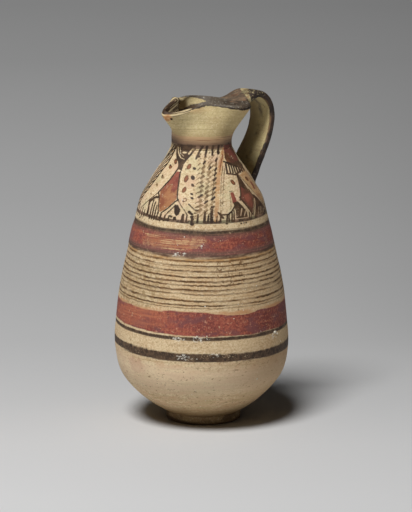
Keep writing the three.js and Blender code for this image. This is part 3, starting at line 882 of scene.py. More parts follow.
# The thin brown lines below the frieze: height, thickness and how dark
FINE_LINES = [
    (82.2, 0.9, 0.85), (80.1, 0.7, 0.95), (79.2, 0.3, 0.6), (77.6, 0.9, 0.9), (76.4, 0.3, 0.5), (75.0, 0.8, 1.0),
    (72.9, 0.9, 1.0), (71.2, 0.7, 1.0), (69.1, 0.8, 1.0), (68.4, 0.25, 0.6), (67.2, 0.7, 0.8), (65.6, 0.25, 0.5),
    (64.2, 0.9, 1.0), (62.1, 0.7, 1.0), (60.9, 0.4, 0.8),
]

# Where the skin is scuffed to white flecks: degrees from the front, height, width and tallness
SCUFFS = [(-1, 47.0, 4.2, 1.7), (-16, 46.6, 3.8, 1.1), (-17, 85.4, 3.6, 1.0), (-12, 38.0, 4.4, 1.4),
          (9, 39.2, 2.6, 1.2), (56, 45.4, 3.0, 1.8), (0.5, 89.4, 0.9, 1.5)]


def slip_ground(g, pale, warm, rough=1.0):
    """Gives a skin the bare slip's blotches, faint turning streaks, grain and pores; returns a height for bumps."""
    blotch, grain, pore, height = clay_grain(g)
    streak = turning_lines(g, 1.5, 1.4)
    mottle = g.noise(1000, 4, 0.7, 1.3)
    g.colour = g.layers(
        pale,
        (g.ramp(blotch, 0.36, 0.68), warm),
        (g.ramp(streak, 0.5, 0.74, 0, 0.35), (176, 146, 108)),
        (g.ramp(mottle, 0.5, 0.37, 0, 0.8 * rough), (246, 228, 192)),
        (g.ramp(mottle, 0.53, 0.66, 0, 0.65 * rough), (144, 110, 72)),
        (g.ramp(grain, 0.56, 0.72, 0, 0.35), (120, 90, 56)),
        (pore * 0.65, (112, 82, 52)))
    return height + streak * 0.5


def lay_motifs(g):
    """Lays the frieze's paints from their distance fields; returns how much they cover."""
    tone = g.noise(240, 3)
    brush = g.ramp(turning_lines(g, 0.7, 1.2), 0.4, 0.66)
    sunned = patch_on(g, -35, 106.5, 12, 9, 1)
    cover = 0.0
    for name, rough, soft, first, second, wear, strength in MOTIFS:
        mask = brushed(g, g.field(name + "_gap"), rough, soft)
        if name == "amber":
            amber = mask * brushed(g, g.field("rust_gap"), 0.4, 0.16)
        kept = worn(g, mask, wear, 0.8)
        if strength < 1:
            kept = kept * (brush * 0.25 + (strength - 0.25))
        shade = g.mix(g.ramp(tone, 0.38, 0.64), first, second)
        if name == "red":
            shade = g.mix(sunned, shade, g.mix(g.ramp(tone, 0.42, 0.58), (176, 122, 82), (146, 88, 62)))
        g.tint(kept, shade)
        if name == "rust":
            g.tint(amber * 0.7, (160, 100, 68))
        cover = kept * strength | cover
    return cover


def body_material():
    g = Skin("painted slip")
    bumps = slip_ground(g, SLIP, SLIP_WARM)
    height = leaning_height(g, 0.9)
    streak, thin, dry = turning_lines(g, 0.8, 3), turning_lines(g, 0.35, 2), turning_lines(g, 2.2, 0.8)
    tone, small, fleck = g.noise(60, 3), g.noise(480, 4, 0.62), g.noise(1000, 4, 0.7)
    right = to_right(g, BELLY_RADIUS)
    g.tint(band(g, height, 39, 86, 1.5) * 0.2, (196, 162, 122))
    # painted shade: the body is painted darker towards its right side
    g.tint(g.ramp(right, 0.1, 0.9, 0, 0.35), (184, 144, 98))

    # the bare lower body: wiped streaks, small stains and nicks, and near the foot soil with painted shade
    bare = g.ramp(height, 34, 38, 1, 0)
    g.tint(g.ramp(turning_lines(g, 0.8, 2.2), 0.5, 0.66, 0, 0.6) * bare, (186, 154, 110))
    g.tint(g.ramp(g.noise(150, 4, 0.62, 2), 0.5, 0.64, 0, 0.5) * bare, (206, 160, 120))
    rusty = g.ramp(small, 0.58, 0.66, 0, 0.75) * g.ramp(tone, 0.42, 0.6, 0.2, 1)
    g.tint(rusty * bare, (166, 112, 74))
    green = g.ramp(g.noise(34), 0.42, 0.6, 0.1, 0.5) * g.ramp(height, 22, 33, 1, 0.25)
    g.tint(green * bare, (200, 184, 138))
    g.tint(g.ramp(turning_lines(g, 1.7, 1.4), 0.46, 0.6, 0, 0.55) * bare, (218, 184, 148))
    g.tint(patch_on(g, -48, 31, 6, 4, 1) * 0.55, (180, 124, 100))
    # painted light: the lower belly is painted paler between these heights
    g.tint(band(g, height, 19, 33, 4) * 0.5, (246, 220, 186))
    g.tint(g.ramp(g.noise(520, 3, 0.6, 2.6), 0.62, 0.68, 0, 0.7) * bare, (134, 92, 58))
    # painted shade: the bare lower body is painted darker towards its right side
    g.tint(g.ramp(right, 0.15, 0.85, 0, 0.4) * bare, (166, 124, 82))
    # soil with painted shade: darker towards the foot, where the belly curves under
    g.tint(g.ramp(height + tone * 8, 7, 19, 0.85, 0), (140, 108, 64))

    # ochre washes among the fine lines, then the lines
    g.tint(band(g, height, 60.4, 84, 0.6) * g.ramp(dry, 0.42, 0.62, 0.05, 0.42), (194, 156, 110))
    g.tint(patch_on(g, -56, 69, 20, 13, 0.9) * g.ramp(small, 0.42, 0.6, 0.1, 0.6), (142, 118, 76))
    g.tint(patch_on(g, 22, 78, 9, 7, 0.9) * g.ramp(g.noise(620, 3, 0.6), 0.54, 0.6, 0, 0.85), (112, 80, 48))
    g.tint(band(g, height, 81.6, 84, 0.5) * g.ramp(dry, 0.4, 0.6, 0.25, 0.75), (184, 136, 82))
    brown = g.mix(g.ramp(small, 0.4, 0.64), (80, 56, 32), (124, 90, 56))
    fine = leaning_height(g, 1.3) + (g.noise(420, 3, 0.65) - 0.5)
    for middle, thick, dark in FINE_LINES:
        mask = band(g, fine, middle - thick / 2, middle + thick / 2, 0.24)
        g.tint(mask * g.ramp(dry, 0.34, 0.56, dark * 0.45, dark), brown)

    # red bands; the upper one runs out in brown above and plum below, and is rubbed to orange streaks on the left
    red = g.layers(
        (168, 89, 72),
        (g.ramp(tone, 0.35, 0.65), (140, 70, 60)),
        # painted shade: the red is painted darker towards the right side, and a little towards the left edge
        (g.ramp(right, 0.2, 0.8, 0, 0.6), (116, 56, 48)),
        (g.ramp(right, -0.4, -0.9, 0, 0.35), (138, 76, 62)),
        (g.ramp(streak, 0.5, 0.72, 0, 0.4), (188, 118, 74)),
        (g.ramp(small, 0.5, 0.7, 0, 0.35), (124, 84, 76)),
        (g.ramp(fleck, 0.52, 0.64, 0, 0.7), (196, 118, 90)),
        (g.ramp(fleck, 0.49, 0.38, 0, 0.7), (108, 54, 50)),
        (g.ramp(g.noise(95, 4, 0.62, 1.8), 0.5, 0.62, 0, 0.7), (122, 74, 74)),
        (patch_on(g, -50, 55, 22, 5, 0.8) * g.ramp(thin, 0.42, 0.6, 0.2, 0.8), (190, 116, 84)))
    ragged = height + (dry - 0.5) * 1.6
    upper = band(g, ragged, 85.6, 94.6, 0.4)
    rubbed = (patch_on(g, -24, 90.6, 16.5, 3.8, 0.8) | patch_on(g, -40, 90.6, 9, 3.8, 0.8)) * upper
    top = ragged + (patch_on(g, 27, 58.6, 10, 1.5, 0.3) - patch_on(g, -10, 58.5, 12, 4, 0.3))
    lower = band(g, top, 48 - right * 0.65, 58.2, 0.3)
    g.tint(band(g, height, 57.4, 59.4, 0.5) * g.ramp(dry, 0.4, 0.6, 0.2, 0.8), (202, 146, 100))
    reds = worn(g, upper | lower, 0.22, 1)
    g.tint(reds, red)
    g.tint(rubbed * g.ramp(streak, 0.4, 0.6, 0.25, 0.9) * 0.7, (184, 124, 88))
    g.tint(rubbed * g.ramp(thin, 0.5, 0.58) * g.ramp(small, 0.62, 0.5, 0.25, 1), (222, 186, 138))
    g.tint(g.ramp(g.noise(640, 3, 0.6), 0.63, 0.67) * reds * 0.7, (206, 150, 120))
    plum = g.layers(
        (136, 88, 78),
        (g.ramp(streak, 0.42, 0.68), (104, 78, 66)),
        (g.ramp(fleck, 0.52, 0.66, 0, 0.6), (172, 126, 104)))
    plums = worn(g, band(g, ragged, 92.6, 95, 0.9) * 0.7 | band(g, ragged, 84.2, 86.8, 0.9), 0.22, 1)
    g.tint(plums, plum)

    # dark lines
    dark = g.layers(
        DARK,
        (g.ramp(small, 0.4, 0.65), (100, 78, 58)),
        (g.ramp(fleck, 0.54, 0.68, 0, 0.5), (136, 108, 82)))
    feathered = height + (streak - 0.5) * 1.8
    thread = height + (small - 0.5) * 0.8
    aslant = feathered + (small - 0.5) * 1.4 + right * 0.45
    darks = worn(g, band(g, feathered, 94.2, 96.2, 0.7) | band(g, height, 99.1, 100.6, 0.25)
                 | band(g, thread, 45.9, 47.5, 0.3) | band(g, aslant, 35.8, 39.7, 0.5), 0.26, 1)
    g.tint(darks, dark)
    g.tint(band(g, thread, 83.4, 85, 0.4) * g.ramp(dry, 0.36, 0.6, 0.35, 0.9), (84, 62, 50))

    # the frieze on its clouded slip, with painted shade that makes it browner to the right
    above = g.ramp(height, 98, 101)
    cloud = g.noise(120, 3, 0.6)
    g.tint(above * g.ramp(cloud, 0.5, 0.64, 0, 0.5), (226, 186, 156))
    g.tint(above * g.ramp(cloud, 0.48, 0.36, 0, 0.45), (206, 196, 152))
    cover = lay_motifs(g) | reds | plums | darks
    # painted shade: the frieze is painted browner and darker towards the right
    g.tint(above * g.ramp(right, 0.3, 0.62, 0, 0.4) * g.ramp(small, 0.36, 0.6, 0.4, 1), (122, 86, 58))

    # specks of lime, and scuffs down to them
    scuffed = 0.0
    for scuff in SCUFFS:
        scuffed = patch_on(g, *scuff, 1) | scuffed
    speck = lime_specks(g, 0.1) | scuffed * g.ramp(g.noise(850, 4, 0.7, 1.5), 0.52, 0.58)
    g.tint(speck * 0.85, LIME)
    return g.finish(0.82 - cover * 0.16, bumps + (cover + speck) * 0.35, 0.00018)


def mouth_material():
    g = Skin("pale slip")
    slip_ground(g, SLIP, SLIP_WARM)
    below = g.colour
    bumps = slip_ground(g, (221, 203, 152), (200, 180, 132), 0.45)
    g.tint(g.ramp(g.separate(g.place())[2], JOINT_HEIGHT * MM, (JOINT_HEIGHT + 4) * MM, 1, 0), below)
    # painted shade: neck and mouth are painted darker towards the right side
    g.tint(g.ramp(to_right(g, NECK_BREADTH), 0.1, 0.9, 0, 0.35), (178, 146, 92))
    height = leaning_height(g, 0.8)
    streak = turning_lines(g, 0.5, 3)
    tone, small = g.noise(110, 3), g.noise(520, 4, 0.62)
    outside, depth = g.field("outside"), g.field("depth")
    g.tint(g.ramp(streak, 0.5, 0.68, 0, 0.45) * outside, (160, 138, 96))
    g.tint(g.ramp(height, 137.5, 142, 0.45, 0) * outside, (170, 142, 96))
    g.tint(g.ramp(depth, 1, 4.5, 0.5, 0) * outside * g.ramp(tone, 0.4, 0.6), (216, 176, 122))

    # the brown band round the foot of the neck, darkest at its lower edge
    uneven = height + (streak - 0.5) * 3.6
    fade = g.ramp(uneven, 132.4, 136.8)
    brown = g.mix(g.ramp(streak, 0.46, 0.62), g.mix(fade, (124, 96, 76), (200, 164, 122)),
                  g.mix(fade, (92, 70, 56), (154, 116, 84)))
    banded = worn(g, band(g, uneven, 131.4, 137, 0.6) * outside, 0.16, 1)
    g.tint(banded, brown)
    blots = g.ramp(g.noise(300, 3), 0.48, 0.58, 0, 0.8)
    g.tint(band(g, height, 131.4, 133.4, 0.6) * blots * outside, DARK)
    lay_motifs(g)

    # dark paint over the lip and inside the back of the mouth
    ragged = (g.noise(420, 3, 0.6) - 0.5) * 1.2
    brink = outside * g.ramp(depth + ragged * 0.6, 0.2, 0.7)
    # painted light: deeper inside the mouth the dark paint is laid browner and less dark, which lifts the shade in the
    # hollow
    deep_painted_light = g.ramp(depth, 2, 5) * (1 - outside)
    dark = g.layers(
        (98, 87, 74),
        (g.ramp(tone, 0.4, 0.66), (74, 60, 48)),
        (g.ramp(small, 0.52, 0.7, 0, 0.7), (128, 118, 102)),
        (g.ramp(g.noise(900, 3, 0.6, 2.2), 0.61, 0.66, 0, 0.8), (182, 178, 168)),
        (brink * 0.95, (40, 28, 20)),
        (deep_painted_light * 0.7, (104, 82, 60)))
    painted = worn(g, g.ramp(g.field("paint_gap") + ragged, -0.15, 0.3, 1, 0), 0.16, 1)
    g.tint(painted, dark)

    # brushed streaks that run along the lip by the spout
    rays = g.noise(1.6, 3, 0.6, at=g.combine(depth * 1.15, g.field("round") * 0.022, 0.3))
    spout = g.ramp(g.field("spout_gap"), -0.5, 0.8, 1, 0)
    g.tint(spout * 0.7, (138, 112, 80))
    g.tint(spout * g.ramp(rays, 0.52, 0.55), (70, 52, 38))
    g.tint(spout * g.ramp(rays, 0.5, 0.47), (222, 202, 158))

    # the chipped spout shows the orange clay
    clay = g.mix(g.ramp(small, 0.4, 0.65), (226, 178, 126), (196, 136, 88))
    g.tint(g.ramp(g.field("chip_gap") + ragged * 0.8, -0.5, 0.9, 1, 0), clay)
    g.tint(g.ramp(g.field("pit_gap"), -0.1, 0.3, 1, 0), (52, 34, 22))
    g.tint(lime_specks(g, 0.06) * 0.7, LIME)
    return g.finish(0.84 - (banded | painted) * 0.24, bumps, 0.00018)


def foot_material():
    g = Skin("bare clay")
    bumps = slip_ground(g, (172, 142, 98), (148, 114, 74), 0.35)

    # the underside keeps the string's curved cutting marks, and is paler than the rim it stands on, which has soil and
    # painted shade towards the floor
    flat = g.place(0)
    outwards = g.ramp(g.vector("LENGTH", flat), 0.0125, 0.016)
    beneath = 1 - outwards
    pull = g.vector("LENGTH", g.vector("SUBTRACT", flat, (0.024, 0.01, 0)))
    cut = g.noise(1300, 2, 0.6, at=g.combine(pull, 0, 0))
    g.tint(beneath * g.ramp(cut, 0.44, 0.6, 0, 0.7), (116, 88, 58))
    # soil with painted shade: the rim darkens towards its bottom edge, where it meets the floor
    rim = g.ramp(leaning_height(g, 0.6), 0.2, 1.8, 0.9, 0) * g.ramp(outwards, 0, 1, 0.15, 1)
    soil = g.ramp(g.noise(190, 4, 0.6), 0.42, 0.62, 0.1, 0.7)
    g.tint(rim | soil, (84, 62, 40))
    rings = turning_lines(g, 0.7, 2.5)
    return g.finish(g.ramp(rings, 0, 1, 0.92, 0.8), bumps + rings * 0.8 + cut * beneath * 1.6)


def handle_material():
    g = Skin("dark paint")
    bumps = slip_ground(g, (214, 198, 146), (204, 184, 134), 0.2)
    # painted shade: the strap is painted darker towards its far side, where the neck shades its inner face
    g.tint(g.ramp(g.field("side"), -0.4, 0.7, 0, 0.8), (124, 102, 64))
    tone, small = g.noise(160, 4, 0.6), g.noise(520, 3)
    ragged = (g.noise(380, 3) - 0.5) * 1.2

    def near(name, low, high):
        return g.ramp(g.field(name) + ragged, low, high, 1, 0)

    paint = g.layers(
        (50, 40, 34),
        (g.ramp(tone, 0.38, 0.62), (74, 56, 46)),
        (g.ramp(small, 0.52, 0.7, 0, 0.5), (104, 86, 70)))
    cover = worn(g, 1 - near("inner_gap", -0.25, 0.35), 0.12, 1.2)
    g.tint(cover, paint)

    # the worn root at the mouth, the bare stripe over the arch, the flecked patch after it and the rubbed edge
    root = g.layers(
        (104, 88, 72),
        (g.ramp(small, 0.4, 0.62), (134, 110, 86)),
        (g.ramp(g.noise(420, 3), 0.56, 0.66, 0, 0.6), (134, 92, 66)),
        (g.ramp(g.noise(700, 3, 0.65), 0.57, 0.64, 0, 0.7), (56, 44, 36)))
    g.tint(near("root_gap", -0.8, 0.8) * cover * g.ramp(tone, 0.3, 0.55, 0.4, 0.95), root)
    bare = g.mix(g.ramp(small, 0.42, 0.6), (192, 176, 132), (156, 126, 86))
    g.tint(near("stripe_gap", -0.4, 0.5) * g.ramp(small, 0.66, 0.58, 0.3, 1), bare)
    flecked = near("fleck_gap", -0.6, 0.6)
    g.tint(flecked * 0.6, (44, 36, 30))
    g.tint(flecked * g.ramp(g.noise(820, 3, 0.6), 0.54, 0.6) * 0.85, (170, 154, 116))
    rubbed = near("edge_gap", -0.2, 0.35) * g.ramp(tone, 0.44, 0.54, 0, 0.85)
    g.tint(rubbed * g.ramp(small, 0.6, 0.5, 0.2, 1), (134, 104, 74))
    chips = g.ramp(g.noise(700, 3, 0.6), 0.64, 0.69, 0, 0.6)
    g.tint(chips * cover, (158, 140, 112))
    g.tint(lime_specks(g, 0.08) * 0.7, LIME)
    return g.finish(0.8 - cover * 0.2, bumps + (chips + cover) * 0.3)


def lime_material():
    g = Skin("lime crust")
    grain = g.noise(1400, 4, 0.65)
    g.colour = g.mix(g.ramp(grain, 0.4, 0.65), LIME, (204, 190, 160))
    return g.finish(g.ramp(grain, 0.3, 0.7, 0.95, 0.8), grain)


# The pieces

def shifted_foot(points):
    """Points moved with the foot, which was set down a little off the axis."""
    share = 1 - ease(points[:, 2], 3.0, 14.0)
    return points + share[:, None] * np.array([*FOOT_SHIFT, 0])


def make_body():
    piece = turned("thrown_body", body_outline(), 490)
    outer = shape_body(piece)
    points = shifted_foot(coordinates(piece))
    move_points(piece, points)
    slipped = abs(points[:, 2] - SLIPPED_LINE) < SLIPPED_REACH
    lay_frieze(piece, outer & ((points[:, 2] > FRIEZE_BASE) | slipped))
    return piece


def make_foot():
    """The low disc the pot stands on, with a soft edge and a slightly hollowed, string-cut underside."""
    turns = [(FOOT_RADIUS - FOOT_EDGE + FOOT_EDGE * math.sin(a), FOOT_EDGE - FOOT_EDGE * math.cos(a))
             for a in np.linspace(0, math.pi / 2, 8)]
    under = [(0, 0.5), *((r, 0.5) for r in np.arange(0.8, 12.5, 0.8)), (13.2, 0.4), (14.2, 0.08)]
    outline = [*under, (15.0, 0), (FOOT_STANDING, 0), *turns[1:], (FOOT_RADIUS, 2.4), (FOOT_RADIUS - 0.1, 3.4),
               (FOOT_RADIUS - 0.15, FOOT_HEIGHT), (9.0, FOOT_HEIGHT), (0, FOOT_HEIGHT)]
    piece = turned("disc_foot", outline, 220)
    points = coordinates(piece)
    radius = np.hypot(points[:, 0], points[:, 1])
    around = np.arctan2(points[:, 1], points[:, 0])
    hollow = (points[:, 2] < 1.0) & (radius < 13.0)
    arcs = 0.12 * np.sin(1.7 * np.hypot(points[:, 0] - 9.0, points[:, 1] + 2.0))
    points[hollow, 2] += arcs[hollow]
    side = (radius > 16.6) & (points[:, 2] > 0.5) & (points[:, 2] < FOOT_HEIGHT - 0.3)
    wobble = 0.12 * np.sin(3 * around + 1) + 0.1 * noise_at(points, 6.0, 4.0)
    points[side, :2] *= (1 + wobble[side] / radius[side])[:, None]
    move_points(piece, shifted_foot(points))
    return piece


OFF = 5.0  # the distance of a mark that isn't there

# The chip in the spout's lip and the pit in it: angles and shares of the way up, and their sizes in millimetres
CHIP, CHIP_BITE, CHIP_DEPTH, CHIP_STAIN = (math.radians(-175), 0.95), 1.7, 0.55, 1.5
PIT, PIT_SIZE = (math.radians(-171), 0.93), 0.55

# How the pinched lip strays from its plan: degrees from the handle, millimetres outwards and upwards
LIP_STRAY = [(-180, 0, 0), (-110, 0, 0), (-95, 0, 0.5), (-80, 0.1, 1.0), (-65, 0.3, 1.4), (-50, 0.5, 1.9),
             (-38, 0.5, 1.9), (-28, 0.3, 1.1), (-12, 0, 0.2), (0, 0, 0), (80, 0, 0), (95, 0.6, 0), (108, 1.3, 0),
             (119, 1.8, 0), (130, 1.8, 0), (140, 1.5, 0), (150, 0.2, 0), (160, -1.2, 0), (170, -0.8, 0), (180, 0, 0)]

# How far the lip's paint reaches down, inside and outside, at degrees from the handle
LIP_PAINT = [(-180, 1.2, 0.4), (-165, 0.6, -1.0), (-152, 1.6, 0.3), (-135, 2.6, 0.8), (-110, 2.2, 0.8),
             (-96, 2.4, 0.9), (-82, 8, 1.1), (-60, 10, 1.4), (0, 10, 1.3), (38, 10, 1.3), (44, 1.4, 1.3),
             (52, 0.7, 1.2), (60, 0.2, 1.1), (70, 0.0, 1.0), (92, -0.1, 0.9), (119, 0.0, 0.8), (132, 0.6, 0.9),
             (141, 2.8, 0.9), (150, 4.0, 0.9), (170, 3.0, 0.8), (180, 1.2, 0.4)]

# Where the dark paint deeper in the mouth begins, below the lip, at degrees from the handle
DEEP_PAINT = [(-180, 6.5), (-150, 6), (-96, 4), (43, 2.0), (52, 2.6), (60, 3.2), (70, 3.9), (85, 4.8), (100, 5.4),
              (130, 6.0), (165, 6.2), (180, 6.5)]


def make_mouth():
    """Neck and mouth as one thrown wall, pinched into three lobes, with a rounded lip and a chip at the spout."""
    steps, rows, turns, inside_rows = 320, 58, 12, 34
    angle = np.arange(steps) / steps * TURN
    outer, normal = mouth_face(angle, np.linspace(0, 1, rows))
    inner_share = np.linspace(0, 1, inside_rows)
    inner, inner_normal = mouth_face(angle, inner_share)
    inner = inner - inner_normal * (NECK_WALL + (LIP - NECK_WALL) * inner_share)[:, None, None]
    inner[0, :, 2] = JOINT_HEIGHT
    turn = (np.arange(1, turns) / turns * math.pi)[:, None, None]
    lip = outer[-1] + (inner[-1] - outer[-1]) * (1 - np.cos(turn)) / 2
    lip[..., 2] += np.sin(turn[..., 0]) * LIP / 2
    shape = np.concatenate([outer, lip, inner[::-1]])

    # unevenness, fading to nothing at the joint
    flat = shape.reshape(-1, 3)
    uneven = 0.16 * noise_at(flat, 9.0, 7.0) * ease(flat[:, 2], JOINT_HEIGHT + 0.2, JOINT_HEIGHT + 6)
    outward = unit(np.concatenate([normal, lip - lip.mean(axis=0) + 1e-6, inner_normal[::-1]]).reshape(-1, 3))
    flat += outward * uneven[:, None]
    chip_at, pit_at = (mouth_outer(np.array([angle]), np.array([share]))[0] for angle, share in (CHIP, PIT))
    stray = smooth_line(LIP_STRAY, 0, 12)
    high = ease(flat[:, 2], JOINT_HEIGHT + 8, MOUTH_TOP)
    turned_by = np.degrees(np.arctan2(flat[:, 1], flat[:, 0]))
    flat[:, :2] += unit(flat[:, :2]) * (read_table(stray, turned_by) * high)[:, None]
    flat[:, 2] += read_table(stray, turned_by, 2) * high
    outer = shape[:rows]

    # the chip
    gap = np.linalg.norm((flat - chip_at) / (1, 1, 1.1), axis=1) - CHIP_BITE + 0.3 * noise_at(flat, 1.3, 2.0)
    flat[:, :2] -= unit(flat[:, :2]) * (CHIP_DEPTH * ease(-gap, -0.2, 1.2))[:, None]
    piece = looped("pinched_mouth", len(shape), steps, shape)

    # fields: depth below the lip's crest, whether a point is outside, its angle, and the painted and chipped places
    points = coordinates(piece)
    radius = np.hypot(points[:, 0], points[:, 1])
    around = np.arctan2(points[:, 1], points[:, 0])
    degrees = np.degrees(around)
    down = lip_at(around)[1] + read_table(stray, degrees, 2) + LIP / 2 - points[:, 2]
    at = np.round(around / TURN * steps).astype(int) % steps
    outside = np.zeros(len(points), bool)
    for k in range(steps):
        here = at == k
        face = np.interp(points[here, 2], outer[:, k, 2], np.hypot(outer[:, k, 0], outer[:, k, 1]))
        outside[here] = radius[here] > face - NECK_WALL * 0.4
    set_field(piece, "outside", outside)
    set_field(piece, "depth", down)
    set_field(piece, "round", np.abs(degrees))
    deep = np.maximum(read_table(DEEP_PAINT, degrees) - down, down - 13)
    inside_gap = np.minimum(down - read_table(LIP_PAINT, degrees), deep)
    set_field(piece, "paint_gap", np.where(outside, down - read_table(LIP_PAINT, degrees, 2), inside_gap))
    spout = np.maximum((np.abs(np.abs(degrees) - 158) - 26) / 57 * radius, down - np.where(outside, 1.2, 7.0))
    set_field(piece, "spout_gap", np.where((degrees > -150) & (degrees <= 0), OFF, spout))
    chipped = np.linalg.norm((points - chip_at) / (1, 1.7, 1), axis=1) - CHIP_STAIN
    set_field(piece, "chip_gap", np.where(outside | (down < 1.0), chipped, OFF))
    set_field(piece, "pit_gap", np.linalg.norm(points - pit_at, axis=1) - PIT_SIZE)
    lay_frieze(piece, outside & (points[:, 2] < FRIEZE_TOP))
    return piece


def strap_line():
    """The strap's line in the plane of the handle, from inside the lip's wall to inside the shoulder's."""
    lip_radius, lip_height = (float(v) for v in lip_at(0.0))
    upper = (lip_radius - LIP, lip_height - STRAP_ROOT_DEPTH)
    crown = (upper[0] + 0.6 * (STRAP_REACH - upper[0]), upper[1] + STRAP_RISE)
    outermost = (STRAP_REACH, STRAP_REACH_HEIGHT)
    lower = (float(body_radius(STRAP_LOWER_HEIGHT)) - BODY_WALL, STRAP_LOWER_HEIGHT)
    fall = [(0.027, 0.152), (0.155, 0.348), (0.372, 0.545), (0.595, 0.727), (0.743, 0.864)]
    return smooth_line([upper, *between(upper, crown, [(0.4, 0.42)]), crown,
                        *between(crown, outermost, [(0.45, 0.115), (0.83, 0.46)]), outermost,
                        *between(outermost, lower, fall), lower], 0.5, 40)


OVAL_POWER, OVAL_HOLLOW = 0.45, 0.14  # how square the strap's oval is, and the hollow of its inner face
STRAP_STEPS, STRAP_POINTS, SKIRT_POINTS = 150, 76, 96  # rings, and points round them for the strap and for its skirts

# How much wider the strap is on its far side: shares of its length, and millimetres
FAR_SIDE = [(0.4, 0), (0.55, 0.7), (0.64, 1.6), (0.74, 2.3), (0.84, 2.2), (0.93, 1.2), (1, 0.6)]


def strap_frame(count):
    """Even points along the strap's line, and its directions there."""
    line = evenly(strap_line(), count=count)
    return line, unit(np.gradient(line, axis=0))


def strap_rings(points):
    """The strap's rings: a flat oval with soft long edges, slightly hollow inside, widest at its roots."""
    line, along = strap_frame(STRAP_STEPS)
    share = np.linspace(0, 1, STRAP_STEPS)
    width = np.where(share < 0.6, STRAP_TOP + (STRAP_WAIST - STRAP_TOP) * ease(share, 0, 0.6),
                     STRAP_WAIST + (STRAP_ROOT - STRAP_WAIST) * ease(share, 0.6, 1))
    turn = np.linspace(0, TURN, 721)
    circle = np.stack([np.cos(turn), np.sin(turn)], axis=1)
    oval = np.sign(circle) * np.abs(circle) ** OVAL_POWER * (STRAP_WAIST / 2, STRAP_THICKNESS / 2)
    oval = evenly(oval, count=points + 1)[:-1]
    hollow = OVAL_HOLLOW * STRAP_THICKNESS * (1 - (oval[:, 0] / (STRAP_WAIST / 2)) ** 2)
    outward = oval[:, 1] + np.where(oval[:, 1] < 0, hollow, 0)
    across = oval[None, :, 0] * (width / STRAP_WAIST)[:, None]
    across = across + ease(across, 0, STRAP_WAIST / 2) * read_table(FAR_SIDE, share)[:, None]
    x = line[:, None, 0] - along[:, None, 1] * outward
    z = line[:, None, 1] + along[:, None, 0] * outward
    return np.stack([x, across, z], axis=-1)


def fields_of_strap(piece, points):
    """Where the strap's inner face is bare, its edge is rubbed, and its top is worn, striped and flecked."""
    count = 400
    line, along = strap_frame(count)
    gaps = np.hypot(points[:, None, 0] - line[None, :, 0], points[:, None, 2] - line[None, :, 1])
    nearest = gaps.argmin(axis=1)
    offset = points[:, [0, 2]] - line[nearest]
    outward = -offset[:, 0] * along[nearest, 1] + offset[:, 1] * along[nearest, 0]
    share = nearest / (count - 1)
    length = share * lengths_along(line)[-1]
    across = points[:, 1]
    half = STRAP_WAIST / 2
    wide = half + np.where(across > 0, read_table(FAR_SIDE, share), 0)
    border = np.where(across > 0, 0.5, 0.95)  # the dark edge that stays round the bare inner face
    set_field(piece, "inner_gap", np.maximum((outward + 1.25) * 2.5, np.abs(across) - wide + border))
    set_field(piece, "side", across / half)
    rubbed = np.hypot(outward + 1.5, np.abs(across) - half + 0.5) - 0.45
    set_field(piece, "edge_gap", np.where((length > 17) & (length < 50), rubbed, OFF))
    from_near = across + half
    on_top = {
        "root_gap": np.maximum(length - 6.8 - 0.52 * from_near, across - half),
        "stripe_gap": np.abs(length - 7.8 - 0.65 * from_near) - 0.9 - 0.12 * from_near,
        "fleck_gap": np.hypot((length - 13.0) / 1.5, np.maximum(from_near - 2.6, 0) / 2.2) - 2.8,
    }
    for name, gap in on_top.items():
        set_field(piece, name, np.where(outward > -1.4, gap, OFF))


def make_strap():
    rings = strap_rings(STRAP_POINTS)[2:-3]
    flat = rings.reshape(-1, 3)
    centre = np.repeat(rings.mean(axis=1), rings.shape[1], axis=0)
    flat += unit(flat - centre) * (0.16 * noise_at(flat, 8.0, 1.0) + 0.08 * noise_at(flat, 2.6, 6.0))[:, None]
    piece = swept("strap", rings)
    fields_of_strap(piece, coordinates(piece))
    return piece


def wall_of(piece):
    """A piece's faces, for finding places on them."""
    bm = bmesh.new()
    bm.from_mesh(piece.data)
    wall = BVHTree.FromBMesh(bm)
    bm.free()
    return wall


def meeting(wall, path):
    """Where a path of points meets a wall, and how far along the path that is; else the wall's nearest place."""
    gone = 0.0
    for start, end in zip(path, path[1:]):
        step = end - start
        hit, _, _, away = wall.ray_cast(start, step.normalized(), step.length)
        if hit:
            return hit, gone + away
        gone += step.length
    return wall.find_nearest(path[-1])[0], gone


SKIRT_STEPS, SKIRT_FULLNESS, SKIRT_ROUGHNESS = 14, 0.25, 0.07
SKIN_DEPTH, SUNK_DEPTH = 0.08, 0.7  # how far the skirt's edges and its hidden back lie in the clay


